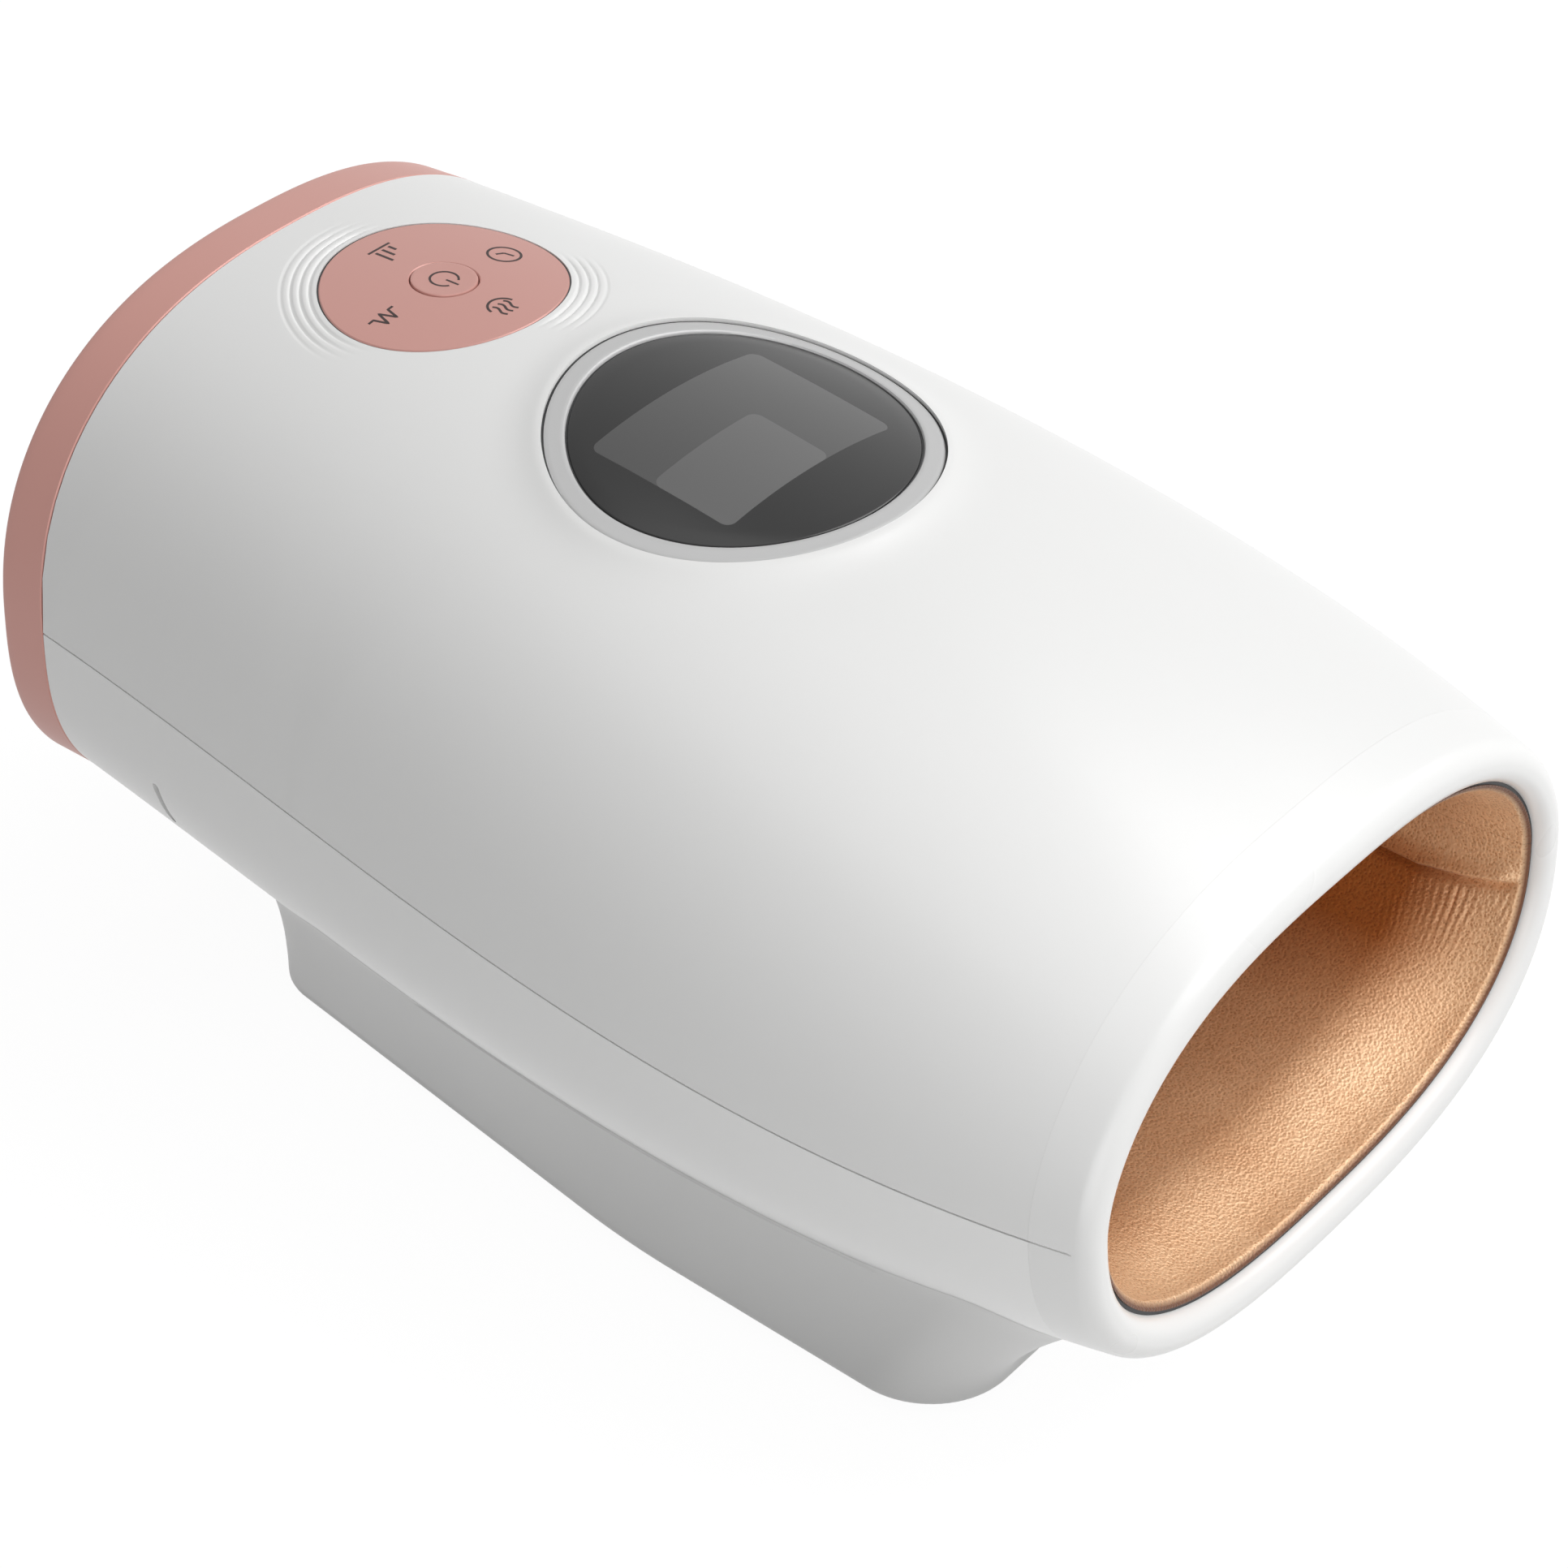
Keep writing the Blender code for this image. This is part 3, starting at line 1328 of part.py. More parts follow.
def build_battery(bottom_shell):
    level = FOOT_HEIGHT + GAP + BASE_PLATE_WALL + GAP
    y = RIM_Y + BATTERY_FROM_RIM
    box(
        "battery_pack",
        (0, y, level + BATTERY_HEIGHT / 2),
        (BATTERY_WIDTH, BATTERY_LENGTH, BATTERY_HEIGHT),
        finish("battery_pack", DARK, 0.4),
        BATTERY_ROUND,
    )
    x = BATTERY_WIDTH / 4
    start = Vector((x, y + BATTERY_LENGTH / 2 + GAP, level + BATTERY_HEIGHT / 2))
    hole_y = RIM_Y + TUNNEL_DEPTH + 2 * LEAD_HOLE_RADIUS
    keel = height_at(x, skin_sizes(share_at(hole_y - RIM_Y)), under=True)
    side = MAIN_BOARD_WIDTH / 2 + 2 * LEAD_RADIUS
    board_edge = RIM_Y + MAIN_BOARD_END
    end_x = MAIN_BOARD_WIDTH / 2 - POST_RADIUS
    route = [
        start,
        start + Vector((0, 4 * LEAD_RADIUS, 0)),
        Vector((x, (start.y + hole_y) / 2, start.z)),
        Vector((x, hole_y - LEAD_RADIUS, keel - LEAD_RADIUS)),
        Vector((x, hole_y, keel + 2 * WALL)),
        Vector(((x + side) / 2, hole_y, CRADLE_SEAM - 4 * LEAD_RADIUS)),
        Vector((side, hole_y, PUMP_RISE)),
        Vector((side, hole_y, MAIN_BOARD_RISE - 3 * POST_RADIUS)),
        Vector(((side + end_x) / 2, (hole_y + board_edge) / 2, MAIN_BOARD_RISE)),
        Vector((end_x, board_edge + 4 * LEAD_RADIUS, MAIN_BOARD_RISE)),
        Vector((end_x, board_edge + GAP, MAIN_BOARD_RISE)),
    ]
    tube("battery_lead", route, LEAD_RADIUS, finish("battery_lead", RED, 0.4))
    cut(bottom_shell, rod("lead_hole", (x, hole_y, keel), LEAD_HOLE_RADIUS, 6 * OVERRUN, "Z"))


# Charging socket, in the bottom shell's side


def build_socket(bottom_shell):
    y = RIM_Y + SOCKET_FROM_RIM
    z = SOCKET_RISE
    skin_x = -flank_at(z, skin_sizes(SOCKET_SHARE))
    mouth = skin_x + SOCKET_RECESS
    middle = mouth + SOCKET_DEPTH / 2
    outer = (SOCKET_DEPTH, SOCKET_THICK, SOCKET_TALL)
    slot_size = (4 * OVERRUN, SOCKET_THICK + 2 * GAP, SOCKET_TALL + 2 * GAP)
    round_end = SOCKET_THICK / 2 - GAP
    cut(bottom_shell, ease_long_edges(box("socket_slot", (skin_x, y, z), slot_size), round_end))
    socket = box("charging_socket", (middle, y, z), outer, finish("charging_socket", STEEL, 0.3, 1.0))
    ease_long_edges(socket, round_end)
    inner = (SOCKET_DEPTH, SOCKET_THICK - 2 * SOCKET_WALL, SOCKET_TALL - 2 * SOCKET_WALL)
    mouth_cutter = box("socket_mouth", (middle - 2 * SOCKET_WALL, y, z), inner)
    cut(socket, ease_long_edges(mouth_cutter, round_end - SOCKET_WALL))
    tongue_size = (SOCKET_DEPTH * 2 / 3, SOCKET_TONGUE, SOCKET_TALL * 2 / 3)
    tongue_x = middle + SOCKET_DEPTH / 2 - SOCKET_WALL - tongue_size[0] / 2
    join(socket, box("socket_tongue", (tongue_x, y, z), tongue_size))
    board_x = middle + SOCKET_RECESS + SOCKET_BOARD_WIDTH / 2
    board_y = y + SOCKET_THICK / 2 + GAP + SOCKET_BOARD_WALL / 2
    box(
        "socket_board",
        (board_x, board_y, z),
        (SOCKET_BOARD_WIDTH, SOCKET_BOARD_WALL, SOCKET_BOARD_HEIGHT),
        finish("socket_board", GREEN, 0.5),
    )
    return Vector((board_x + SOCKET_BOARD_WIDTH / 4, board_y + SOCKET_BOARD_WALL / 2 + GAP, z))


def ease_long_edges(piece, radius):
    """Rounds the four edges of a box that run along X."""
    mesh = piece.data
    shape = bmesh.new()
    shape.from_mesh(mesh)
    along = [
        edge for edge in shape.edges if abs(edge.verts[0].co.x - edge.verts[1].co.x) > GAP
    ]
    bmesh.ops.bevel(shape, geom=along, offset=radius, segments=3, affect="EDGES", profile=0.5)
    shape.to_mesh(mesh)
    shape.free()
    return piece


# Wires between the boards


def ribbon(name, points, width, material):
    """A flat cable that runs along these points, its width across X."""
    loops = []
    path = smooth_path(points, TUBE_SPACING)
    for before, here, after in zip([path[0], *path], path, [*path[1:], path[-1]]):
        along = (after - before).normalized()
        lift = Vector((0, -along.z, along.y)) * RIBBON_WALL / 2
        side = Vector((width / 2, 0, 0))
        corners = (-side - lift, side - lift, side + lift, lift - side)
        loops.append(np.array([here + corner for corner in corners]))
    return loft_block(name, loops, material)


def build_wires(frame, board_low, charge_start):
    """The key board's ribbon and the charging socket's lead, both to the main board's rear edge."""
    edge = RIM_Y + MAIN_BOARD_END + GAP
    back = Vector((0, 1, 0))
    up = Vector((0, 0, 1))
    end = Vector((0, edge, MAIN_BOARD_RISE))
    start = frame @ Vector((0, 0, board_low - RIBBON_WALL / 2 - GAP))
    bend = start.z - end.z
    route = [
        start,
        start - back * bend / 2 - up * RIBBON_WALL,
        (start + end) / 2 - up * RIBBON_WALL,
        end + back * bend / 2,
        end,
    ]
    ribbon("key_ribbon", route, RIBBON_WIDTH, finish("key_ribbon", WHITE, 0.5))

    start = charge_start
    board_x = POST_RADIUS - MAIN_BOARD_WIDTH / 2
    high_x = (start.x + board_x) / 2
    route = [
        start,
        start + back * 4 * LEAD_RADIUS,
        start + back * 4 * LEAD_RADIUS + up * 8 * LEAD_RADIUS,
        Vector((start.x, start.y, PUMP_RISE + MOTOR_RADIUS)),
        Vector((high_x, (start.y + edge) / 2, MAIN_BOARD_RISE)),
        Vector((board_x, edge + 4 * LEAD_RADIUS, MAIN_BOARD_RISE)),
        Vector((board_x, edge, MAIN_BOARD_RISE)),
    ]
    tube("charge_lead", route, LEAD_RADIUS, finish("charge_lead", DARK, 0.4))


# Screws and posts that hold the base on


def build_base_screws(bottom_shell, base_plate):
    level = FOOT_HEIGHT + GAP
    ground = Matrix.Identity(4)
    middle_y = RIM_Y + BATTERY_FROM_RIM
    spread = BATTERY_LENGTH / 2 + BATTERY_ROOM + POST_RADIUS
    places = [
        (-BASE_FRONT_HALF / 2, middle_y - spread),
        (BASE_FRONT_HALF / 2, middle_y - spread),
        (-BASE_REAR_HALF / 2, middle_y + spread),
        (BASE_REAR_HALF / 2, middle_y + spread),
    ]
    for index, (x, y) in enumerate(places):
        sizes = smaller(skin_sizes(share_at(y - RIM_Y)), WALL / 2)
        high = height_at(abs(x) - POST_RADIUS, sizes, under=True)
        low = level + BASE_PLATE_WALL + GAP
        join(bottom_shell, post_between("base_post_" + str(index), x, y, low, high))
        seat = level + SCREW_SINK
        middle = (x, y, seat - OVERRUN / 2)
        radius = SCREW_HEAD_RADIUS + GAP
        sink = rod("screw_sink_" + str(index), middle, radius, OVERRUN, "Z", steps=SMALL_STEPS)
        deep = seat + SCREW_LENGTH + SCREW_RADIUS
        pilot = pilot_hole("base_pilot_" + str(index), x, y, seat - GAP, deep)
        cut(base_plate, sink, pilot)
        cut(bottom_shell, pilot)
        screw("base_screw_" + str(index + 1), ground, x, y, seat - GAP, up=False)


clear_scene()
top_shell = shell_half("top_shell", True)
bottom_shell = shell_half("bottom_shell", False)
front_rim()
rear_ring()
rear_cover()
upper_cradle = cradle_half("upper_cradle", True)
cradle_half("lower_cradle", False)
lining_half("lining_upper", True)
lining_half("lining_lower", False)
layer_over_lining(
    "heating_pad",
    LAYER_GAP,
    HEATER_WALL,
    HEATER_SPAN_SHARES,
    HEATER_HALF_ANGLE,
    finish("heating_pad", COPPER),
)
upper_airbag = layer_over_lining(
    "upper_airbag",
    LAYER_GAP + HEATER_WALL + LAYER_GAP,
    AIRBAG_WALL,
    (AIRBAG_START_SHARE, share_at(INLET_FROM_RIM + AIRBAG_MARGIN)),
    AIRBAG_HALF_ANGLE,
    finish("upper_airbag", SILICONE),
)
layer_over_lining(
    "palm_foam",
    LAYER_GAP,
    FOAM_WALL,
    FOAM_SPAN_SHARES,
    FOAM_HALF_ANGLE,
    finish("palm_foam", GREY),
    over=False,
)
base_housing()
base_plate = base_plate_and_feet()
display_frame = tilted_frame(DISPLAY_FROM_RIM, DISPLAY_PROUD, DISPLAY_SLOPE)
lcd_low = build_display(top_shell, display_frame)
panel_frame = tilted_frame(PANEL_FROM_RIM, 0, PANEL_SLOPE)
key_board_low = build_panel(top_shell, panel_frame)
build_main_board(upper_cradle, display_frame, lcd_low)
outlets = build_pump(bottom_shell)
valve_port = build_valve()
inlet = build_air_inlet(upper_airbag, upper_cradle)
build_hoses(outlets, valve_port, inlet)
build_battery(bottom_shell)
charge_start = build_socket(bottom_shell)
build_wires(panel_frame, key_board_low, charge_start)
build_base_screws(bottom_shell, base_plate)
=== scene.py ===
"""The hand massager's look: its mouldings, leather, display and studio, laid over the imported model."""

import math

import bmesh
import bpy
import numpy as np
from mathutils import Matrix, Vector

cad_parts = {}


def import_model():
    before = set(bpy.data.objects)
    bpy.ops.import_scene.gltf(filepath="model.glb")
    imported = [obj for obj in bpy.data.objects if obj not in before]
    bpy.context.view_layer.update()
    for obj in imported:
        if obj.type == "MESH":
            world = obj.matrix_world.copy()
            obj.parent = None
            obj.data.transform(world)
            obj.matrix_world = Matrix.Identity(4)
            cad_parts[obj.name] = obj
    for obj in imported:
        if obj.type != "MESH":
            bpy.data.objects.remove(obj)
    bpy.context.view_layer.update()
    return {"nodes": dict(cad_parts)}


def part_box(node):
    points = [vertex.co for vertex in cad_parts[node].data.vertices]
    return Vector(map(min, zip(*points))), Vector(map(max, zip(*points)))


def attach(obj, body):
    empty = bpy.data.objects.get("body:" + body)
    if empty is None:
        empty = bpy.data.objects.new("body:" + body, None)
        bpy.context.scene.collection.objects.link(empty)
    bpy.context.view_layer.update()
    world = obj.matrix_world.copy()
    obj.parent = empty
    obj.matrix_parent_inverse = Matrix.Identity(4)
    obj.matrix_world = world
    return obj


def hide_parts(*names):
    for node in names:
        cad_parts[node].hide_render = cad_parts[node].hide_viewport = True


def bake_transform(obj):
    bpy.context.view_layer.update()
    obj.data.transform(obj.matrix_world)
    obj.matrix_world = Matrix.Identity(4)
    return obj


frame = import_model()

MM = 0.001


# Sizes of the barrel, in metres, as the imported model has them

HALF_WIDTH = 0.0746
HEIGHT = 0.1044
LIFT = 0.0130
RING_DEPTH = 0.009
BARREL = 0.201
WALL = 0.0025
GAP = 0.0003
LEANS = (math.radians(4.25), math.radians(-0.68))
HALF_WIDTH_SHARES = (0.880, 1.157, 0.881, 0.819)
CROWN_SHARES = (0.3016, 0.5413, 0.5421, 0.4508)
KEEL_SHARES = (0.35479, 0.42147, 0.48085, 0.42934)
SEAM_SHARES = (0.36228, 0.41401, 0.47429, 0.55098)
CROWN_POWERS = ((0.697, 0.998, 1.131, 0.822), (1.091, 1.243, 0.653, 0.888))
KEEL_POWERS = ((0.750, 0.837), (0.848, 0.735))
RIM_WIDTH = 0.0059
RIM_DEPTH = 0.0085
RIM_ROUND = 0.0026
RING_WALL = 0.0032
RING_ROUND = 0.0010
RING_TAPER = 0.0003
HAIRLINE = 0.00002
SEAM_DEPTH = 0.0004
LOOP_COUNT = 160
SHARP_ANGLE = 35

FRONT_REACH = math.tan(LEANS[0]) * KEEL_SHARES[0] * HEIGHT
REAR_REACH = math.tan(-LEANS[1]) * (KEEL_SHARES[-1] * HEIGHT - RING_TAPER)
RIM_Y = -(BARREL + RING_DEPTH) / 2 + (FRONT_REACH - REAR_REACH) / 2


# Surfaces of the barrel


def cubic(shares, s):
    """The cubic curve with these four control values, at the share s of the length."""
    a, b, c, d = shares
    return a * (1 - s) ** 3 + 3 * b * s * (1 - s) ** 2 + 3 * c * s**2 * (1 - s) + d * s**3


def blend_in(t):
    """The smooth step: nought below t = 0, one above t = 1, and t * t * (3 - 2 * t) between them."""
    t = np.clip(t, 0, 1)
    return t * t * (3 - 2 * t)


def seam_at(s):
    return LIFT + HEIGHT * cubic(SEAM_SHARES, s)


def skin(s, inset=0.0):
    """The skin's section at s, drawn in by the inset: half width, crown, keel, seam height, powers."""
    s = np.asarray(s, float)
    return (
        HALF_WIDTH * cubic(HALF_WIDTH_SHARES, s) - inset,
        HEIGHT * cubic(CROWN_SHARES, s) - inset,
        HEIGHT * cubic(KEEL_SHARES, s) - inset,
        seam_at(s),
        tuple(cubic(shares, s) for shares in CROWN_POWERS),
        tuple(low * (1 - s) + high * s for low, high in KEEL_POWERS),
    )


def edge_of(sizes, under, gap=GAP / 2):
    """How far across, from -1 to 1, a half section runs before it meets half a gap from its seam."""
    reach = sizes[2] if under else sizes[1]
    x_power, z_power = sizes[5] if under else sizes[4]
    sine = (1 - (gap / reach) ** (2 / z_power)) ** (x_power / 2)
    return np.arcsin(sine) * 2 / np.pi


def section(sizes, s, across, under=False, back=0.0):
    """Points of a section, at s along the barrel and from -1 to 1 across it.

    x is the half width times sin(90 across). The height over the seam is the reach times
    (1 - |x / half| ** (2 / p)) ** (q / 2). The section leans, so y grows with the height.
    """
    half, seam = sizes[0], sizes[3]
    reach = sizes[2] if under else sizes[1]
    x_power, z_power = sizes[5] if under else sizes[4]
    sine = np.sin(np.pi / 2 * np.asarray(across))
    rise = np.clip(1 - np.abs(sine) ** (2 / x_power), 0, 1) ** (z_power / 2)
    z = seam + (-reach if under else reach) * rise
    lean = LEANS[0] * (1 - s) + LEANS[1] * s
    y = RIM_Y + s * BARREL + back + np.tan(lean) * (z - seam_at(s))
    x, y, z = np.broadcast_arrays(half * sine, y, z)
    return np.stack((x, y, z), -1)


def over_plan(x, y, under=False, inset=0.0):
    """The share s, the place across and the height of the skin over or under a plan point.

    The lean makes y depend on the height, so s is corrected a few times until it agrees.
    """
    x, y = np.broadcast_arrays(np.asarray(x, float), np.asarray(y, float))
    s = (y - RIM_Y) / BARREL
    for _ in range(8):
        sizes = skin(s, inset)
        across = np.arcsin(np.clip(x / sizes[0], -1, 1)) * 2 / np.pi
        point = section(sizes, s, across, under)
        s = s + (y - point[..., 1]) / BARREL
    return s, across, point[..., 2]


def loop_of(sizes, s, back=0.0):
    """A whole section, anticlockwise from +X over the crown and back under the keel."""
    turns = np.linspace(1, -1, LOOP_COUNT, endpoint=False)
    over = section(sizes, s, turns, False, back)
    below = section(sizes, s, np.linspace(-1, 1, LOOP_COUNT, endpoint=False), True, back)
    return np.concatenate((over, below))


# Meshes


def faces_of(rows, columns, wrap_rows=False, wrap_columns=False, first=0):
    """The four-sided faces of a grid of points, closed round in either direction where asked."""
    index = first + np.arange(rows * columns).reshape(rows, columns)
    if wrap_rows:
        index = np.vstack((index, index[:1]))
    if wrap_columns:
        index = np.hstack((index, index[:, :1]))
    corners = (index[:-1, :-1], index[1:, :-1], index[1:, 1:], index[:-1, 1:])
    return np.stack(corners, -1).reshape(-1, 4)


def placed(name, data):
    """A new object of this mesh, lamp or camera, at the origin of the scene."""
    made = bpy.data.objects.new(name, data)
    bpy.context.scene.collection.objects.link(made)
    return made


def piece(name, points, faces, material, body, stands_for=(), sharp=SHARP_ANGLE):
    """A welded mesh, faces outward, smooth but for edges sharper than the angle in degrees.

    A piece given no body is attached to none.
    """
    mesh = bpy.data.meshes.new(name)
    points = np.asarray(points, float).reshape(-1, 3)
    faces = faces if isinstance(faces, list) else np.asarray(faces).tolist()
    mesh.from_pydata(points.tolist(), [], faces)
    built = bmesh.new()
    built.from_mesh(mesh)
    bmesh.ops.remove_doubles(built, verts=built.verts, dist=2e-6)
    bmesh.ops.recalc_face_normals(built, faces=built.faces)
    built.to_mesh(mesh)
    built.free()
    mesh.polygons.foreach_set("use_smooth", np.ones(len(mesh.polygons), bool))
    mesh.set_sharp_from_angle(angle=math.radians(sharp))
    mesh.materials.append(material)
    made = placed(name, mesh)
    if body:
        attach(made, body)
    if stands_for:
        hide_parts(*stands_for)
    return made


def sheet_faces(rows, columns):
    """Faces of a wall given as its outer grid and then its inner grid, with its four edges closed."""
    outer = faces_of(rows, columns)
    inner = faces_of(rows, columns, first=rows * columns)[:, ::-1]
    index = np.arange(rows * columns).reshape(rows, columns)
    rim = np.concatenate((index[0, :-1], index[:-1, -1], index[-1, :0:-1], index[:0:-1, 0]))
    after = np.roll(rim, -1)
    far = rows * columns
    edges = np.stack((rim, after, after + far, rim + far), -1)
    return np.concatenate((outer, inner, edges))


def ring_faces(profile_count, loop_count):
    return faces_of(profile_count, loop_count, wrap_rows=True, wrap_columns=True)


def capped_faces(rows, columns):
    """Faces of a closed stack of loops, with a flat face over each end."""
    faces = faces_of(rows, columns, wrap_columns=True).tolist()
    faces.append(list(range(columns)))
    faces.append(list(range((rows - 1) * columns, rows * columns)))
    return faces


def looped(name, loops, material, body, stands_for, capped=False, sharp=SHARP_ANGLE):
    """A piece made of closed loops: a profile carried round, or a stack with a face over each end."""
    points = np.array(loops)
    faces = (capped_faces if capped else ring_faces)(*points.shape[:2])
    return piece(name, points, faces, material, body, stands_for, sharp)


def arc(centre, radius, start, end, steps):
    """Points of a circle's arc in a profile, from one angle to the other in degrees."""
    angles = np.radians(np.linspace(start, end, steps))
    return np.stack((centre[0] + radius * np.cos(angles), centre[1] + radius * np.sin(angles)), -1)


# Materials


def linear(code):
    """An sRGB hex colour as linear light with full opacity."""
    values = [int(code[i : i + 2], 16) / 255 for i in (1, 3, 5)]
    return [v / 12.92 if v <= 0.04045 else ((v + 0.055) / 1.055) ** 2.4 for v in values] + [1.0]


def add(tree, kind, settings=None, **links):
    """Adds a node, sets its properties and unlinked inputs, and links inputs to other outputs.

    A key in settings is an attribute, or an input's name or number. A link's key is an input's name,
    or in_ and its number, and its value is an output socket.
    """
    node = tree.nodes.new("ShaderNode" + kind)
    for key, value in (settings or {}).items():
        if isinstance(key, int) or key in node.inputs:
            node.inputs[key].default_value = value
        else:
            setattr(node, key, value)
    for key, socket in links.items():
        number = key.removeprefix("in_")
        spot = int(number) if number.isdigit() else key.replace("_", " ")
        tree.links.new(socket, node.inputs[spot])
    return node


def new_material(name, base, roughness, metallic=0.0, **shader):
    """A Principled material, its tree, its shader node and its Object coordinates."""
    material = bpy.data.materials.new(name)
    material.use_nodes = True
    tree = material.node_tree
    surface = tree.nodes["Principled BSDF"]
    surface.inputs["Base Color"].default_value = linear(base)
    surface.inputs["Roughness"].default_value = roughness
    surface.inputs["Metallic"].default_value = metallic
    for key, value in shader.items():
        surface.inputs[key.replace("_", " ")].default_value = value
    place = add(tree, "TexCoord").outputs["Object"]
    return material, tree, surface, place


def moulded(name, base, roughness, grit, depth, ior=1.49, metallic=0.0, shade=0.94, **shader):
    """Moulded plastic or a like finish: a fine eroded grit, and faint clouds in shade and gloss.

    The grit is the size in metres of the tool's spark marks, and depth is their height.
    """
    material, tree, surface, place = new_material(name, base, roughness, metallic, **shader)
    if metallic < 0.5:
        surface.inputs["IOR"].default_value = ior
    clouds = add(tree, "TexNoise", {"Scale": 26.0, "Detail": 3.0}, Vector=place)
    dark = [c * shade for c in linear(base)[:3]] + [1.0]
    tone = add(tree, "Mix", {"data_type": "RGBA", 6: linear(base), 7: dark}, in_0=clouds.outputs["Fac"])
    tree.links.new(tone.outputs[2], surface.inputs["Base Color"])
    limits = {"To Min": roughness * 0.9, "To Max": min(roughness * 1.12, 1.0)}
    gloss = add(tree, "MapRange", limits, Value=clouds.outputs["Fac"])
    tree.links.new(gloss.outputs[0], surface.inputs["Roughness"])
    marks = add(tree, "TexNoise", {"Scale": 1 / grit, "Detail": 2.0}, Vector=place)
    bump = add(tree, "Bump", {"Strength": 0.5, "Distance": depth}, Height=marks.outputs["Fac"])
    tree.links.new(bump.outputs[0], surface.inputs["Normal"])
    return material


# Injection-moulded ABS from a polished tool: satin gloss, with a soft broad highlight
white_abs = moulded("white_abs", "#f1f1f0", 0.30, 0.0006, 0.000004, shade=0.985)
white_rim = moulded("white_rim_abs", "#f3f3f2", 0.28, 0.0006, 0.000003, shade=0.985)
inside_abs = moulded("natural_abs_inside", "#cfcfca", 0.50, 0.0010, 0.00002)
# A lighter copy of the white ABS, on the lower shell and the rear cover: painted light, for the lower shell's
# underside lit from below
white_lower_painted_light = moulded("white_abs_lower_painted_light", "#fafaf9", 0.30, 0.0006, 0.000004, shade=0.985)
base_abs = moulded("white_abs_etched", "#dbdbda", 0.38, 0.0007, 0.000008, shade=0.98)
# Satin rose gold lacquer over plastic: metal flakes make it brighten where it turns to the light
rose_gold = moulded("rose_gold_lacquer", "#d09b92", 0.42, 0.0005, 0.000004, metallic=0.15, shade=0.97)
rose_gold_ring = moulded(
    "rose_gold_ring_lacquer", "#d69e94", 0.42, 0.0005, 0.000004, metallic=0.15, shade=0.96
)
# Printed ink, a dull brown black
print_ink = moulded("printed_ink", "#2b1a18", 0.55, 0.0004, 0.000002)
# Satin silver paint over plastic, a fine even sparkle
silver_paint = moulded("silver_paint", "#c3c3c3", 0.38, 0.0004, 0.000003, metallic=0.10, shade=0.98)
# Black ABS, silicone, rubber and the rest of what lies inside
black_abs = moulded("black_abs", "#1f2022", 0.42, 0.0007, 0.00001, shade=0.8)
rubber = moulded("black_rubber", "#2c2c2c", 0.82, 0.0008, 0.00004, ior=1.52, shade=0.8)
silicone = moulded("silicone_hose", "#d9d8d2", 0.38, 0.0008, 0.000006, ior=1.41, shade=0.93)
zinc_steel = moulded("zinc_plated_steel", "#b9bcc0", 0.34, 0.0004, 0.00001, metallic=1.0)
copper = moulded("enamelled_copper", "#b5652f", 0.35, 0.0003, 0.00004, metallic=1.0)
cell_wrap = moulded("shrink_wrap", "#2f5f9c", 0.32, 0.0020, 0.00002, ior=1.53, shade=0.85)
wire_pvc = moulded("wire_pvc", "#a8302c", 0.40, 0.0006, 0.00001, ior=1.53, shade=0.85)


TRACK_STEP = 0.00127


def circuit_board(name):
    """Solder mask over copper: dark green, with lighter tracks in steps of 1.27 mm."""
    material, tree, surface, place = new_material(name, "#1f5c39", 0.35, Coat_Weight=0.3)
    colours = {"Color1": linear("#1c5233"), "Color2": linear("#1f5c39"), "Mortar": linear("#4d9a63")}
    pattern = {"Scale": 1 / (4 * TRACK_STEP), "Mortar Size": 0.035, **colours}
    tracks = add(tree, "TexBrick", pattern, Vector=place)
    tree.links.new(tracks.outputs["Color"], surface.inputs["Base Color"])
    bump = add(tree, "Bump", {"Strength": 0.4, "Distance": 0.00004}, Height=tracks.outputs["Fac"])
    tree.links.new(bump.outputs[0], surface.inputs["Normal"])
    return material


board_green = circuit_board("solder_mask")


LEATHER_FRONT = 0.0022
# Depth and height over which a darker brown is painted on the leather as shade
PAINTED_SHADE_FROM, PAINTED_SHADE_FULL = RIM_Y + 0.004, RIM_Y + 0.020
PAINTED_SHADE_LOW, PAINTED_SHADE_HIGH = 0.022, 0.033
FOLD_LOW, FOLD_HIGH = 0.0410, 0.0450
DARK_EDGE_BAND = (0.0002, 0.0009)


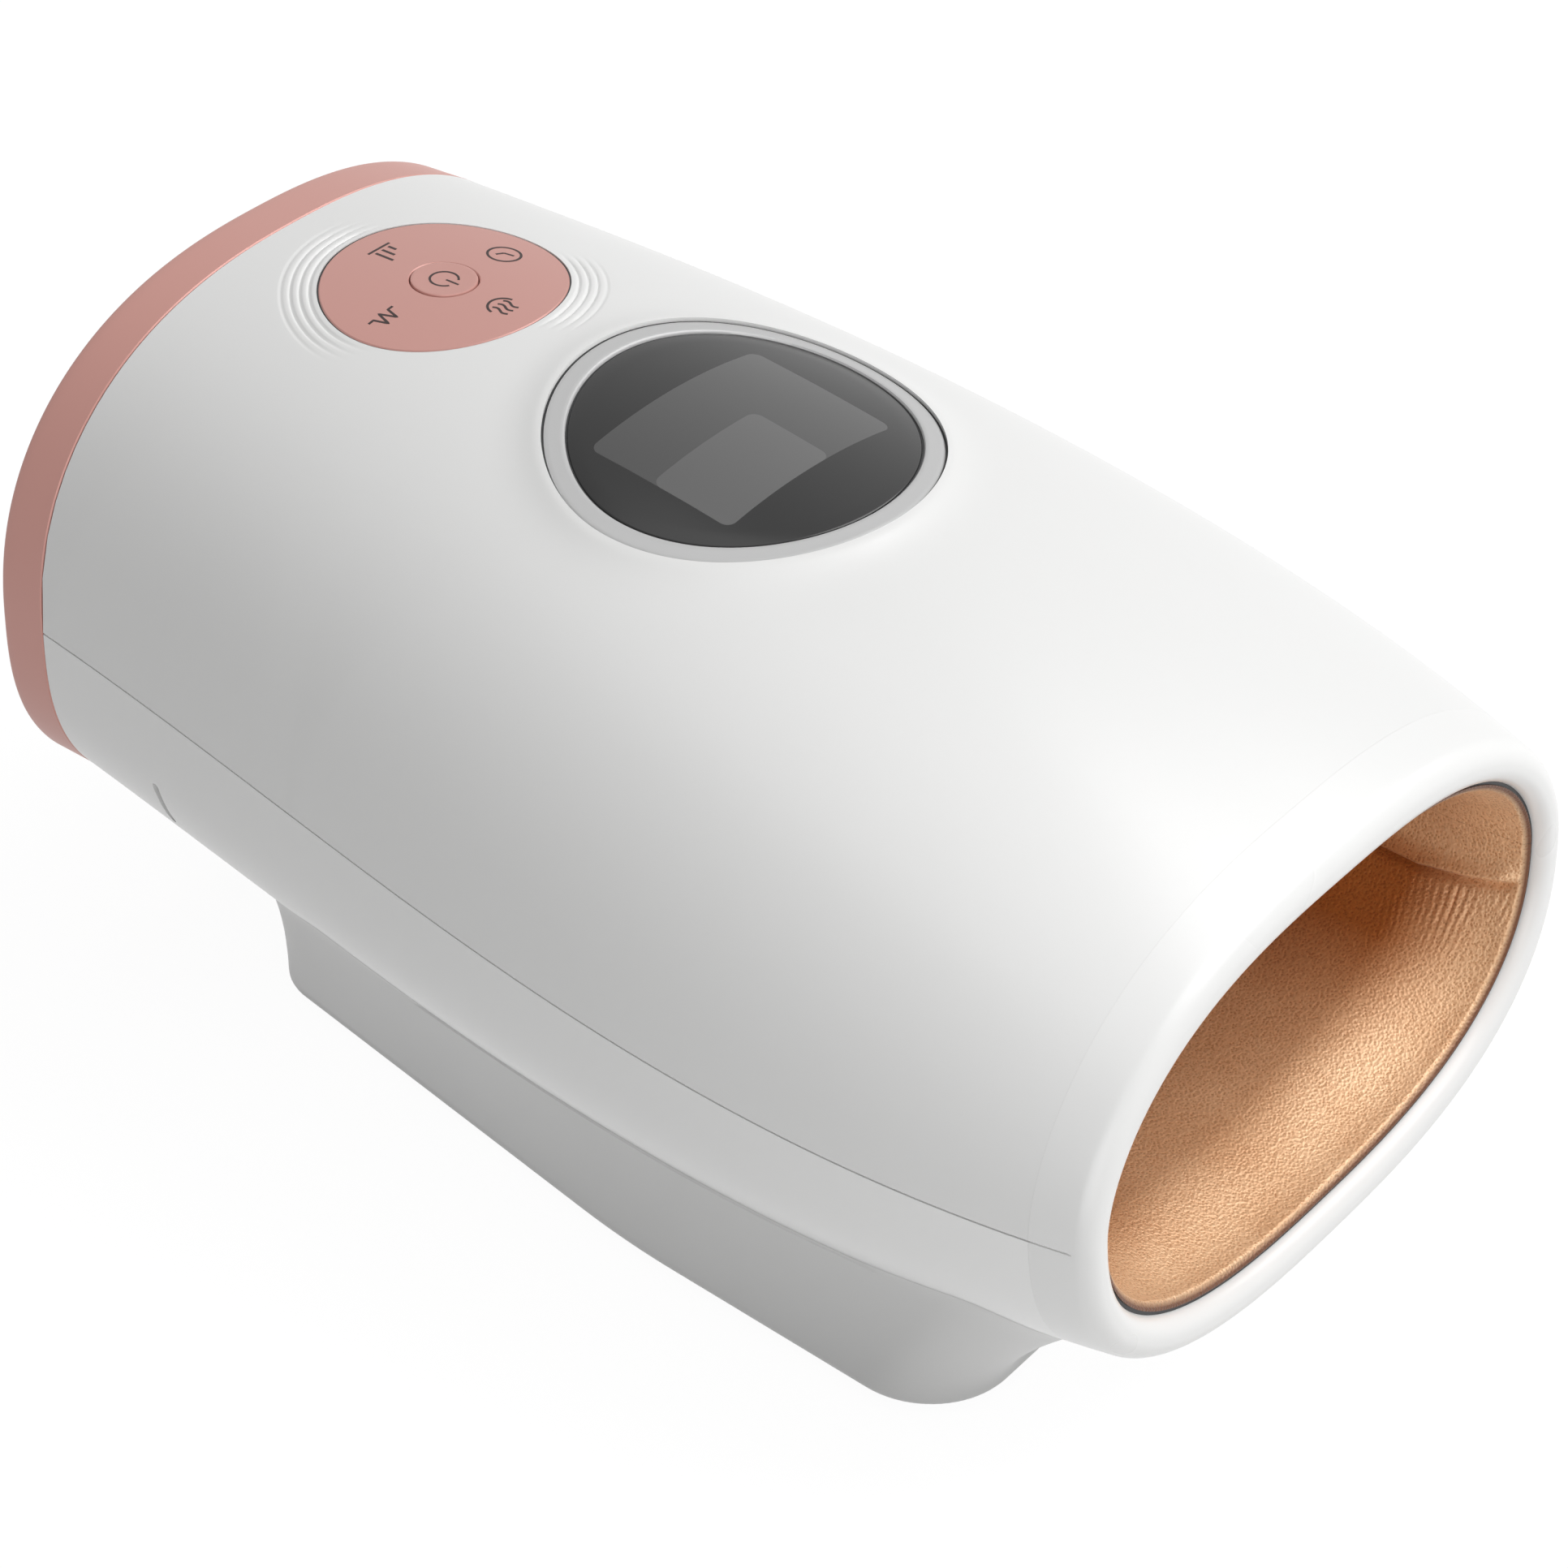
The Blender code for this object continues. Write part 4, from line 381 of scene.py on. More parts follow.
def pearled_leather(name):
    """Tan leather with a pearl finish: a pebble grain of about 0.5 mm, darker in its valleys.

    The grain is the distance to scattered cell points plus a finer noise. High on the walls, below the fold
    and deeper in, a darker brown is painted in as shade, where the walls are turned from the light. Its cut
    front edge is a dark brown band.
    """
    material, tree, surface, place = new_material(name, "#d8a880", 0.40, 0.25, Sheen_Weight=0.10)
    surface.inputs["Specular IOR Level"].default_value = 0.6
    cells = add(tree, "TexVoronoi", {"Scale": 1900.0, "Randomness": 1.0}, Vector=place)
    fine = add(tree, "TexNoise", {"Scale": 3600.0, "Detail": 3.0}, Vector=place)
    slow = add(tree, "TexNoise", {"Scale": 60.0, "Detail": 4.0}, Vector=place)
    weigh = {"operation": "MULTIPLY_ADD", 1: 0.55}
    grain = add(tree, "Math", weigh, in_0=fine.outputs["Fac"], in_2=cells.outputs["Distance"])
    bump = add(tree, "Bump", {"Strength": 0.8, "Distance": 0.00014}, Height=grain.outputs[0])
    tree.links.new(bump.outputs[0], surface.inputs["Normal"])
    ramps = []
    for source, stops in (
        (grain.outputs[0], ((0.18, "#ba8049"), (0.75, "#f9d2a8"))),
        (slow.outputs["Fac"], ((0.3, "#eadccf"), (0.7, "#ffffff"))),
    ):
        ramp = add(tree, "ValToRGB", in_0=source)
        for element, (position, shade) in zip(ramp.color_ramp.elements, stops):
            element.position = position
            element.color = linear(shade)
        ramps.append(ramp.outputs[0])
    multiply = {"data_type": "RGBA", "blend_type": "MULTIPLY"}
    both = add(tree, "Mix", {**multiply, 0: 0.8}, in_6=ramps[0], in_7=ramps[1])
    spot = add(tree, "SeparateXYZ", in_0=place)
    down = {"To Min": 1.0, "To Max": 0.0}
    # Painted shade: the colour turns a darker brown deeper in, high on the walls and below the fold
    deep = add(tree, "MapRange", {"From Min": PAINTED_SHADE_FROM, "From Max": PAINTED_SHADE_FULL}, Value=spot.outputs["Y"])
    high = add(tree, "MapRange", {"From Min": PAINTED_SHADE_LOW, "From Max": PAINTED_SHADE_HIGH}, Value=spot.outputs["Z"])
    over = {"From Min": FOLD_LOW, "From Max": FOLD_HIGH, **down}
    fold = add(tree, "MapRange", over, Value=spot.outputs["Z"])
    wall = add(tree, "Math", {"operation": "MULTIPLY"}, in_0=fold.outputs[0], in_1=high.outputs[0])
    painted_shade = add(tree, "Math", {"operation": "MULTIPLY"}, in_0=deep.outputs[0], in_1=wall.outputs[0])
    # The painted shade's darker brown
    brown = add(tree, "Mix", {**multiply, 7: linear("#be8e58")}, in_0=painted_shade.outputs[0], in_6=both.outputs[2])
    lean = math.tan(LEANS[0])
    dot = {"operation": "DOT_PRODUCT", 1: (0.0, 1.0, -lean)}
    leaned = add(tree, "VectorMath", dot, in_0=place)
    front = RIM_Y - lean * float(seam_at(0.0)) + LEATHER_FRONT
    # The cut front edge is coloured dark brown over its first 0.2 to 0.9 mm
    span = {"From Min": front + DARK_EDGE_BAND[0], "From Max": front + DARK_EDGE_BAND[1]}
    edge = add(tree, "MapRange", {**span, **down}, Value=leaned.outputs["Value"])
    dark_edge_colour = {"data_type": "RGBA", 7: linear("#6a3c1a")}
    edged = add(tree, "Mix", dark_edge_colour, in_0=edge.outputs[0], in_6=brown.outputs[2])
    tree.links.new(edged.outputs[2], surface.inputs["Base Color"])
    shine = add(tree, "MapRange", {"To Min": 0.32, "To Max": 0.54}, Value=fine.outputs["Fac"])
    tree.links.new(shine.outputs[0], surface.inputs["Roughness"])
    return material


leather = pearled_leather("pearled_leather")


def woven_cloth(name, base, thread):
    """A plain weave: two crossed waves, one thread apart, drawn about three times too coarse."""
    material, tree, surface, place = new_material(name, base, 0.85, Sheen_Weight=0.3)
    waves = []
    for axis in "XY":
        bands = {"wave_type": "BANDS", "bands_direction": axis, "Scale": 1 / (6 * thread)}
        waves.append(add(tree, "TexWave", bands, Vector=place).outputs["Fac"])
    cross = add(tree, "Math", {"operation": "MULTIPLY"}, in_0=waves[0], in_1=waves[1])
    bump = add(tree, "Bump", {"Strength": 0.6, "Distance": 0.0001}, Height=cross.outputs[0])
    tree.links.new(bump.outputs[0], surface.inputs["Normal"])
    dark = [c * 0.75 for c in linear(base)[:3]] + [1.0]
    tone = add(tree, "Mix", {"data_type": "RGBA", 6: dark, 7: linear(base)}, in_0=cross.outputs[0])
    tree.links.new(tone.outputs[2], surface.inputs["Base Color"])
    return material


bag_cloth = woven_cloth("coated_bag_cloth", "#5c6068", 0.0004)
foam = moulded("open_cell_foam", "#3d3f44", 0.95, 0.0009, 0.0003, shade=0.6)
heater_film = moulded("heater_film", "#b4683c", 0.35, 0.0030, 0.00003, metallic=0.2)


PANE_BLUR = 0.0001


def rounded_box_mask(tree, flat, low, high, radius):
    """One inside a rounded rectangle of the two flat coordinates, falling to nought over 0.1 mm."""
    centre = [(a + b) / 2 for a, b in zip(low, high)]
    half = [(b - a) / 2 - radius for a, b in zip(low, high)]
    moved = add(tree, "VectorMath", {"operation": "SUBTRACT", 1: (*centre, 0.0)}, in_0=flat)
    size = add(tree, "VectorMath", {"operation": "ABSOLUTE"}, in_0=moved.outputs[0])
    past = add(tree, "VectorMath", {"operation": "SUBTRACT", 1: (*half, 0.0)}, in_0=size.outputs[0])
    only = add(tree, "VectorMath", {"operation": "MAXIMUM", 1: (0.0, 0.0, 0.0)}, in_0=past.outputs[0])
    reach = add(tree, "VectorMath", {"operation": "LENGTH"}, in_0=only.outputs[0])
    fall = {"From Min": radius, "From Max": radius + PANE_BLUR, "To Min": 1.0, "To Max": 0.0}
    return add(tree, "MapRange", fall, Value=reach.outputs["Value"]).outputs[0]


# The display and the panel: from above, each is an egg of two half ellipses, and follows the crown

DISPLAY_Y = RIM_Y + 0.1115
DISPLAY_EGG = (0.0322, 0.0305, 0.0276)
DISPLAY_PROUD = 0.0003
BEZEL_WIDTH = 0.0033
BEZEL_WALL = 0.0022
GLASS_LOW = 0.0004
GLASS_WALL = 0.0018
GLASS_SPAN = (-0.026, 0.028)
PANE_CORNER = (-0.0201, -0.01445)
PANE_ROUND = 0.0016
SEAT_DEPTH = 0.0042
SEAT_LEDGE = 0.0020
SEAT_DROP = 0.0018
PANEL_Y = RIM_Y + 0.1694
PANEL_TURN = math.radians(1.2)
PANEL_EGG = (0.0204, 0.0188, 0.0188)
PANEL_WALL = 0.0012
PANEL_LEDGE = 0.0025
PANEL_EDGE = 0.00018
BUTTON_RADIUS = 0.0053


def egg_at(egg, turn, grow=0.0):
    """The egg's point at each angle: a half ellipse in front of its widest line, another behind."""
    reach = np.where(np.sin(turn) >= 0, egg[2], egg[1]) + grow
    return (egg[0] + grow) * np.cos(turn), reach * np.sin(turn)


def egg_distance(egg, u, v):
    """About how far a point is outside the egg: (r - 1) over the size of r's own gradient."""
    reach = np.where(v >= 0, egg[2], egg[1])
    r = np.sqrt((u / egg[0]) ** 2 + (v / reach) ** 2) + 1e-9
    slope = np.sqrt((u / egg[0] ** 2) ** 2 + (v / reach**2) ** 2) / r
    return (r - 1) / slope


def display_point(u, v, w):
    """A point over the display's plan, w above the bezel's top, which follows the crown."""
    u, v, w = np.broadcast_arrays(np.asarray(u, float), np.asarray(v, float), np.asarray(w, float))
    return np.stack((u, DISPLAY_Y + v, over_plan(u, DISPLAY_Y + v)[2] + DISPLAY_PROUD + w), -1)


def crown_height(u, v, over=0.0):
    """A point over the panel's plan, on the crown and then lifted by this much."""
    u, v = np.broadcast_arrays(np.asarray(u, float), np.asarray(v, float))
    return np.stack((u, PANEL_Y + v, over_plan(u, PANEL_Y + v)[2] + over), -1)


PANEL_Z = float(over_plan(0.0, PANEL_Y)[2])


def panel_point(u, v, w):
    """A point of the panel's tilted plane, w above it."""
    u, v, w = np.broadcast_arrays(np.asarray(u, float), np.asarray(v, float), np.asarray(w, float))
    cosine, sine = math.cos(PANEL_TURN), math.sin(PANEL_TURN)
    return np.stack((u, PANEL_Y + v * cosine - w * sine, PANEL_Z + v * sine + w * cosine), -1)


# Shape of the top shell: the crown, a lip that rises to the display, and ripples round the panel

LIP_RISE = 0.0008
LIP_FLAT = 0.0010
LIP_ROUND = 0.0007
LIP_SPREAD = 0.0080
RIPPLE_STEP = 0.00147
RIPPLE_DEPTH = 0.00030
RIPPLE_WIDTH = 0.00026
RIPPLE_STRENGTHS = (1.0, 0.95, 0.8, 0.45)


def lip_share(distance):
    """One on the display's lip, then (1 - t) cubed of the rounded distance past it."""
    past = distance - LIP_FLAT
    rounded = (np.sqrt(past**2 + LIP_ROUND**2) + past) / 2
    start = (math.sqrt(LIP_FLAT**2 + LIP_ROUND**2) - LIP_FLAT) / 2
    return np.clip(1 - np.maximum(rounded - start, 0) / LIP_SPREAD, 0, 1) ** 3


def ripples(x, y):
    """Fine grooves at even steps outside the panel, only to its rear left and its front right."""
    u, v = x, y - PANEL_Y
    distance = egg_distance(PANEL_EGG, u, v)
    turn = np.arctan2(v, u)
    cut = np.zeros_like(distance)
    for middle, half in ((128, 68), (-55, 45)):
        off = np.abs((turn - math.radians(middle) + np.pi) % (2 * np.pi) - np.pi)
        for number, strength in enumerate(RIPPLE_STRENGTHS, 1):
            reach = math.radians(half * (1 - 0.05 * number))
            fade = 1 - blend_in((off / reach - 0.55) / 0.45)
            offset = (distance - number * RIPPLE_STEP) / RIPPLE_WIDTH
            cut = cut + strength * fade * np.exp(-(offset**2))
    return cut * RIPPLE_DEPTH


def top_height(x, y, z):
    """The crown's height z, raised at the display's lip, with the ripples cut in."""
    share = lip_share(egg_distance(DISPLAY_EGG, x, y - DISPLAY_Y) - GAP)
    return z + LIP_RISE * share - ripples(x, y)


SHELL_START = (RIM_DEPTH + GAP) / BARREL
SHELL_END = 1 - GAP / BARREL
SPLIT_S = 0.1441 / BARREL
PATCH_REACH = 0.112


def top_point(s, across):
    """The top shell's outer point, where across runs from -1 to 1 between its two seam edges."""
    sizes = skin(s)
    point = section(sizes, s, across * edge_of(sizes, False))
    point[..., 2] = top_height(point[..., 0], point[..., 1], point[..., 2])
    return point


def under_point(s, across, inset=WALL):
    sizes = skin(s, inset)
    return section(sizes, s, across * edge_of(sizes, False))


def to_shares(x, y):
    """The top shell's own two coordinates over a plan point."""
    s, across, _ = over_plan(x, y)
    return s, across / edge_of(skin(s), False)


def border_of(start, end, split_first, steps):
    """A patch's border as (s, across), anticlockwise seen from above, with its split side first.

    Across the shell the points stand at equal angles seen from 30 mm off, so they crowd at the middle.
    """
    spread = np.tan(np.radians(np.linspace(75, -75, steps[0]))) / math.tan(math.radians(75))
    run = np.linspace(start, end, steps[1])
    left = np.stack((run[::-1], np.full(steps[1], -1.0)), -1)
    right = np.stack((run, np.full(steps[1], 1.0)), -1)
    rear = np.stack((np.full(steps[0], end), spread), -1)
    if split_first == "rear":
        # The split side runs from +X to -X, then the border goes forward, across and back
        front = np.stack((np.full(steps[2], start), np.linspace(-1, 1, steps[2])), -1)
        sides = (rear, left, front, right)
    else:
        front = np.stack((np.full(steps[0], start), spread[::-1]), -1)
        sides = (front, right, rear, left)
    return np.concatenate([side[:-1] for side in sides])


def patch(border, split_count, egg, centre_y, near, far_rings, scale, pocket):
    """Points and faces of the shell round one egg-shaped hole.

    Each ray leaves the egg towards one border point. Near the egg its rings keep their distance
    from it, and past them they run evenly, in (s, across), to the border. Then the ray turns to the
    underside and comes back to the hole, and the pocket's rings close it.
    """
    s_border, c_border = border[:, 0], border[:, 1]
    run_x = c_border * PATCH_REACH
    run_y = s_border * BARREL - (centre_y - RIM_Y)
    heading = np.arctan2(run_y, run_x)
    reach = np.where(np.sin(heading) >= 0, egg[2], egg[1])
    angle = np.arctan2(np.sin(heading) / reach, np.cos(heading) / egg[0])
    rings = []
    for distance in near:
        u, v = egg_at(egg, angle, GAP + distance * scale(np.sin(angle)))
        rings.append(to_shares(u, centre_y + v))
    last_s, last_c = rings[-1]
    for t in np.linspace(0, 1, far_rings + 1)[1:]:
        rings.append((last_s + (s_border - last_s) * t, last_c + (c_border - last_c) * t))
    outer = [top_point(s, c) for s, c in rings]
    hole_s, hole_c, walls, low = pocket(angle)
    inner = []
    for t in np.linspace(0, 1, 12):
        s = s_border + (hole_s - s_border) * t
        c = c_border + (hole_c - c_border) * t
        inner.append(low(under_point(s, c)))
    points = np.array([*walls, *outer, *inner])
    rows, columns = points.shape[:2]
    faces = faces_of(rows, columns, wrap_rows=True, wrap_columns=True)
    turn_row = len(walls) + len(outer) - 1
    row = faces[:, 0] // columns
    column = np.arange(len(faces)) % columns
    keep = ~((row == turn_row) & (column < split_count - 1))
    return points.reshape(-1, 3), faces[keep]


def display_pocket(angle):
    """The bezel's seat: down the wall, in along the floor, and the opening for the display under it."""
    u, v = egg_at(DISPLAY_EGG, angle, GAP)
    u_in, v_in = egg_at(DISPLAY_EGG, angle, -BEZEL_WIDTH - SEAT_LEDGE)
    deep = -BEZEL_WALL - GAP
    floor = display_point(u_in, v_in, -SEAT_DEPTH)
    walls = [floor, display_point(u_in, v_in, deep), display_point(u, v, deep)]
    hole_s, hole_c = to_shares(floor[:, 0], floor[:, 1])

    def low(point):
        distance = egg_distance(DISPLAY_EGG, point[..., 0], point[..., 1] - DISPLAY_Y)
        share = 1 - blend_in((distance - 0.001) / 0.008)
        return point - np.stack((0 * share, 0 * share, SEAT_DROP * share), -1)

    return hole_s, hole_c, walls, low


def panel_pocket(angle):
    """The panel's seat, which follows the crown, and the opening for the keys under it."""
    rows = []
    for grow in (-PANEL_LEDGE, GAP):
        u, v = egg_at(PANEL_EGG, angle, grow)
        rows.append(to_shares(u, PANEL_Y + v))
    walls = [under_point(*row, PANEL_WALL + GAP) for row in rows]
    return *rows[0], walls, lambda point: point


def top_shell():
    near_display = np.array((0, 0.2, 0.45, 0.7, 0.95, 1.2, 1.5, 1.8, 2.2, 2.7, 3.3, 4.1, 5.1, 6.4, 8.2))
    near_panel = np.arange(0, 7.01, 0.21)
    split = 97
    front = border_of(SHELL_START, SPLIT_S, "rear", (split, 72, 80))
    rear = border_of(SPLIT_S, SHELL_END, "front", (split, 26, 0))
    narrow_rear = lambda sine: 1 - 0.60 * np.clip(sine, 0, 1) ** 6
    narrow_front = lambda sine: 1 - 0.28 * np.clip(-sine, 0, 1) ** 4
    one = patch(front, split, DISPLAY_EGG, DISPLAY_Y, near_display * MM, 40, narrow_rear, display_pocket)
    two = patch(rear, split, PANEL_EGG, PANEL_Y, near_panel * MM, 30, narrow_front, panel_pocket)
    points = np.concatenate((one[0], two[0]))
    faces = np.concatenate((one[1], two[1] + len(one[0])))
    piece("top_moulding", points, faces, white_abs, "housing", ["top_shell"])


top_shell()


# Bottom shell, with the charging slot cut through its left flank

SLOT_HALF_WIDTH = 0.0007
SLOT_HALF_HEIGHT = 0.0045
SLOT_CUT = (0.030, 0.0006)


def bottom_shell():
    """The keel half of the skin as a wall: its outer grid, and its inner grid a wall's depth in."""
    rows, columns = 150, 150
    s = np.linspace(SHELL_START, SHELL_END, rows)[:, None]
    across = np.linspace(-1, 1, columns)[None, :]
    grids = []
    for inset in (0.0, WALL):
        sizes = skin(s, inset)
        grids.append(section(sizes, s, across * edge_of(sizes, True), True))
    faces = sheet_faces(rows, columns)
    shell = piece(
        "bottom_moulding", grids, faces, white_lower_painted_light, "housing", ["bottom_shell"]
    )
    low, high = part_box("charging_socket")
    middle = (np.array(low) + np.array(high)) / 2
    reach = SLOT_HALF_HEIGHT + GAP / 2 - SLOT_HALF_WIDTH
    upper = arc((0, reach), SLOT_HALF_WIDTH, 0, 180, 24)
    lower = arc((0, -reach), SLOT_HALF_WIDTH, 180, 360, 24)
    outline = np.concatenate((upper, lower))
    loops = []
    for before in SLOT_CUT:
        x = np.full(len(outline), middle[0] - before)
        loops.append(np.stack((x, middle[1] + outline[:, 0], middle[2] + outline[:, 1]), -1))
    cutter = looped("slot_cutter", loops, white_abs, "housing", (), capped=True)
    cut = shell.modifiers.new("slot", "BOOLEAN")
    cut.operation = "DIFFERENCE"
    cut.solver = "EXACT"
    cut.object = cutter
    bpy.context.view_layer.update()
    done = bpy.data.meshes.new_from_object(shell.evaluated_get(bpy.context.evaluated_depsgraph_get()))
    shell.modifiers.clear()
    shell.data = done
    bpy.data.objects.remove(cutter)
    done.set_sharp_from_angle(angle=math.radians(SHARP_ANGLE))


bottom_shell()


# Rounded lip round the opening, and the trim at the other end


def seamed_loop(from_s, inset, s, groove):
    """A whole section at s, with the sizes of another s, and a groove along each side's seam."""
    parts = []
    for under in (False, True):
        sizes = skin(from_s, inset)
        reach = edge_of(sizes, under)
        turns = np.linspace(reach, -reach, LOOP_COUNT) * (-1 if under else 1)
        sunk = skin(from_s, inset + groove)
        ends = section(sunk, s, np.array((turns[0], turns[-1])), under)
        parts += [ends[:1], section(sizes, s, turns, under), ends[1:]]
    return np.concatenate(parts)


def rim():
    """Section loops of the skin, drawn in along a profile of two rounded front corners.

    The outer face follows the skin back to the shell. A hairline keeps the two apart, as on the
    real lip, where no joint can be seen.
    """
    depth = RIM_DEPTH + GAP - HAIRLINE
    loops = []
    for back in np.linspace(depth, RIM_ROUND, 8)[:-1]:
        loops.append(seamed_loop(back / BARREL, 0.0, back / BARREL, SEAM_DEPTH))
    for inset, back in arc((RIM_ROUND, RIM_ROUND), RIM_ROUND, 180, 270, 12):
        loops.append(seamed_loop(back / BARREL, inset, back / BARREL, 0.0))
    inner = arc((RIM_WIDTH - RIM_ROUND, RIM_ROUND), RIM_ROUND, 270, 360, 12)
    for inset, back in np.concatenate((inner, [(RIM_WIDTH, RIM_DEPTH), (RIM_WIDTH - 0.0012, depth)])):
        loops.append(seamed_loop(0.0, inset, back / BARREL, 0.0))
    looped("rim_moulding", loops, white_rim, "housing", ["front_rim"])


def trim_ring():
    """The tapered band behind the shell: its outer face falls in by the taper, then rounds over."""
    profile = [(0.0002, 0.0), (0.0, 0.0002)]
    for back in np.linspace(0.0012, RING_DEPTH - RING_ROUND, 6):
        profile.append((RING_TAPER * back / RING_DEPTH, back))
    for inset, back in arc((RING_TAPER + RING_ROUND, RING_DEPTH - RING_ROUND), RING_ROUND, 165, 90, 8):
        profile.append((inset, back))
    edge = RING_TAPER + RING_WALL
    profile += [(edge - 0.0004, RING_DEPTH), (edge, RING_DEPTH - 0.0004), (RING_WALL, 0.0)]
    loops = [loop_of(skin(1, inset), 1.0, back) for inset, back in profile]
    looped("rear_trim_ring", loops, rose_gold_ring, "housing", ["rear_ring"])


def back_cover():
    """The plate inside the ring: a rounded edge, one shallow groove, then a slight dome."""
    edge = RING_TAPER + RING_WALL + GAP
    back = RING_DEPTH - 0.0015
    profile = [
        (edge, back - 0.0025), (edge, back - 0.0010), (edge + 0.0003, back - 0.0004),
        (edge + 0.0010, back), (edge + 0.0045, back + 0.0001), (edge + 0.0050, back - 0.0003),
        (edge + 0.0056, back - 0.0003), (edge + 0.0061, back + 0.0001),
    ]
    for t in np.linspace(0.06, 0.92, 14):
        profile.append((edge + 0.0061 + t * 0.030, back + 0.0001 + 0.0010 * math.sin(t * math.pi / 2)))
    loops = [loop_of(skin(1, inset), 1.0, place) for inset, place in profile]
    looped(
        "rear_cover_moulding", loops, white_lower_painted_light, "housing", ["rear_cover"], capped=True
    )


def mouth_painted_shadow():
    """A black bead between the lip and the leather: painted shadow, so that the gap reads as a thin dark
    line.
    """
    low, high = RIM_WIDTH + HAIRLINE, RIM_WIDTH + 2 * GAP - HAIRLINE
    profile = ((low, 0.0042), (low, 0.0024), (high, 0.0024), (high, 0.0042))
    loops = [loop_of(skin(0, inset), back / BARREL) for inset, back in profile]
    looped("mouth_painted_shadow", loops, black_abs, "housing", ())


rim()
mouth_painted_shadow()
trim_ring()
back_cover()


# Base

BASE_FRONT, BASE_MIDDLE, BASE_REAR = 0.0616, 0.0562, 0.0381
BASE_MIDDLE_SHARE = 0.42
BASE_AHEAD, BASE_BEHIND = 0.0251, 0.0222
BASE_START = RIM_Y + BASE_AHEAD
BASE_LENGTH = BARREL - BASE_AHEAD - BASE_BEHIND
BASE_WALL = 0.0022
BASE_LEVEL = 0.0009
BASE_EDGE = 0.0020
BASE_TUCK = 0.0300
CREASE_START = 0.0076
CREASE_END = BARREL - 0.0172
CREASE_SHARE = 0.915
BLEND_FROM = 0.0080
CREASE_BLEND = 0.0040
CREASE_ROUND = 0.0003
GROOVE_DEPTH = 0.0006
GROOVE_WIDTH = 0.0010
GROOVE_EDGE = 0.0004


def base_outline(grow, count):
    """The base from above: a long six-sided shape with round corners, read evenly along its length."""
    near, far = BASE_START - grow, BASE_START + BASE_LENGTH + grow
    middle = BASE_START + BASE_LENGTH * BASE_MIDDLE_SHARE
    right = [(BASE_FRONT + grow, near), (BASE_MIDDLE + grow, middle), (BASE_REAR + grow, far)]
    radii = [0.0145 + grow, 0.170, 0.012 + grow]
    corners = [Vector(c) for c in right + [(-x, y) for x, y in reversed(right)]]
    radii = radii + radii[::-1]
    found = []
    for index, (corner, radius) in enumerate(zip(corners, radii)):
        before = (corners[index - 1] - corner).normalized()
        after = (corners[(index + 1) % 6] - corner).normalized()
        half_angle = before.angle(after) / 2
        centre = corner + (before + after).normalized() * (radius / math.sin(half_angle))
        first = corner + before * (radius / math.tan(half_angle)) - centre
        last = corner + after * (radius / math.tan(half_angle)) - centre
        sweep = first.angle(last) * math.copysign(1, first.x * last.y - first.y * last.x)
        turns = np.linspace(0, sweep, 40)
        x = first.x * np.cos(turns) - first.y * np.sin(turns)
        y = first.x * np.sin(turns) + first.y * np.cos(turns)
        found.append(np.stack((centre.x + x, centre.y + y), -1))
    points = np.concatenate(found)
    closed = np.vstack((points, points[:1]))
    run = np.concatenate(([0], np.cumsum(np.hypot(*np.diff(closed, axis=0).T))))
    even = np.linspace(0, run[-1], count, endpoint=False)
    return np.stack((np.interp(even, run, closed[:, 0]), np.interp(even, run, closed[:, 1])), -1)


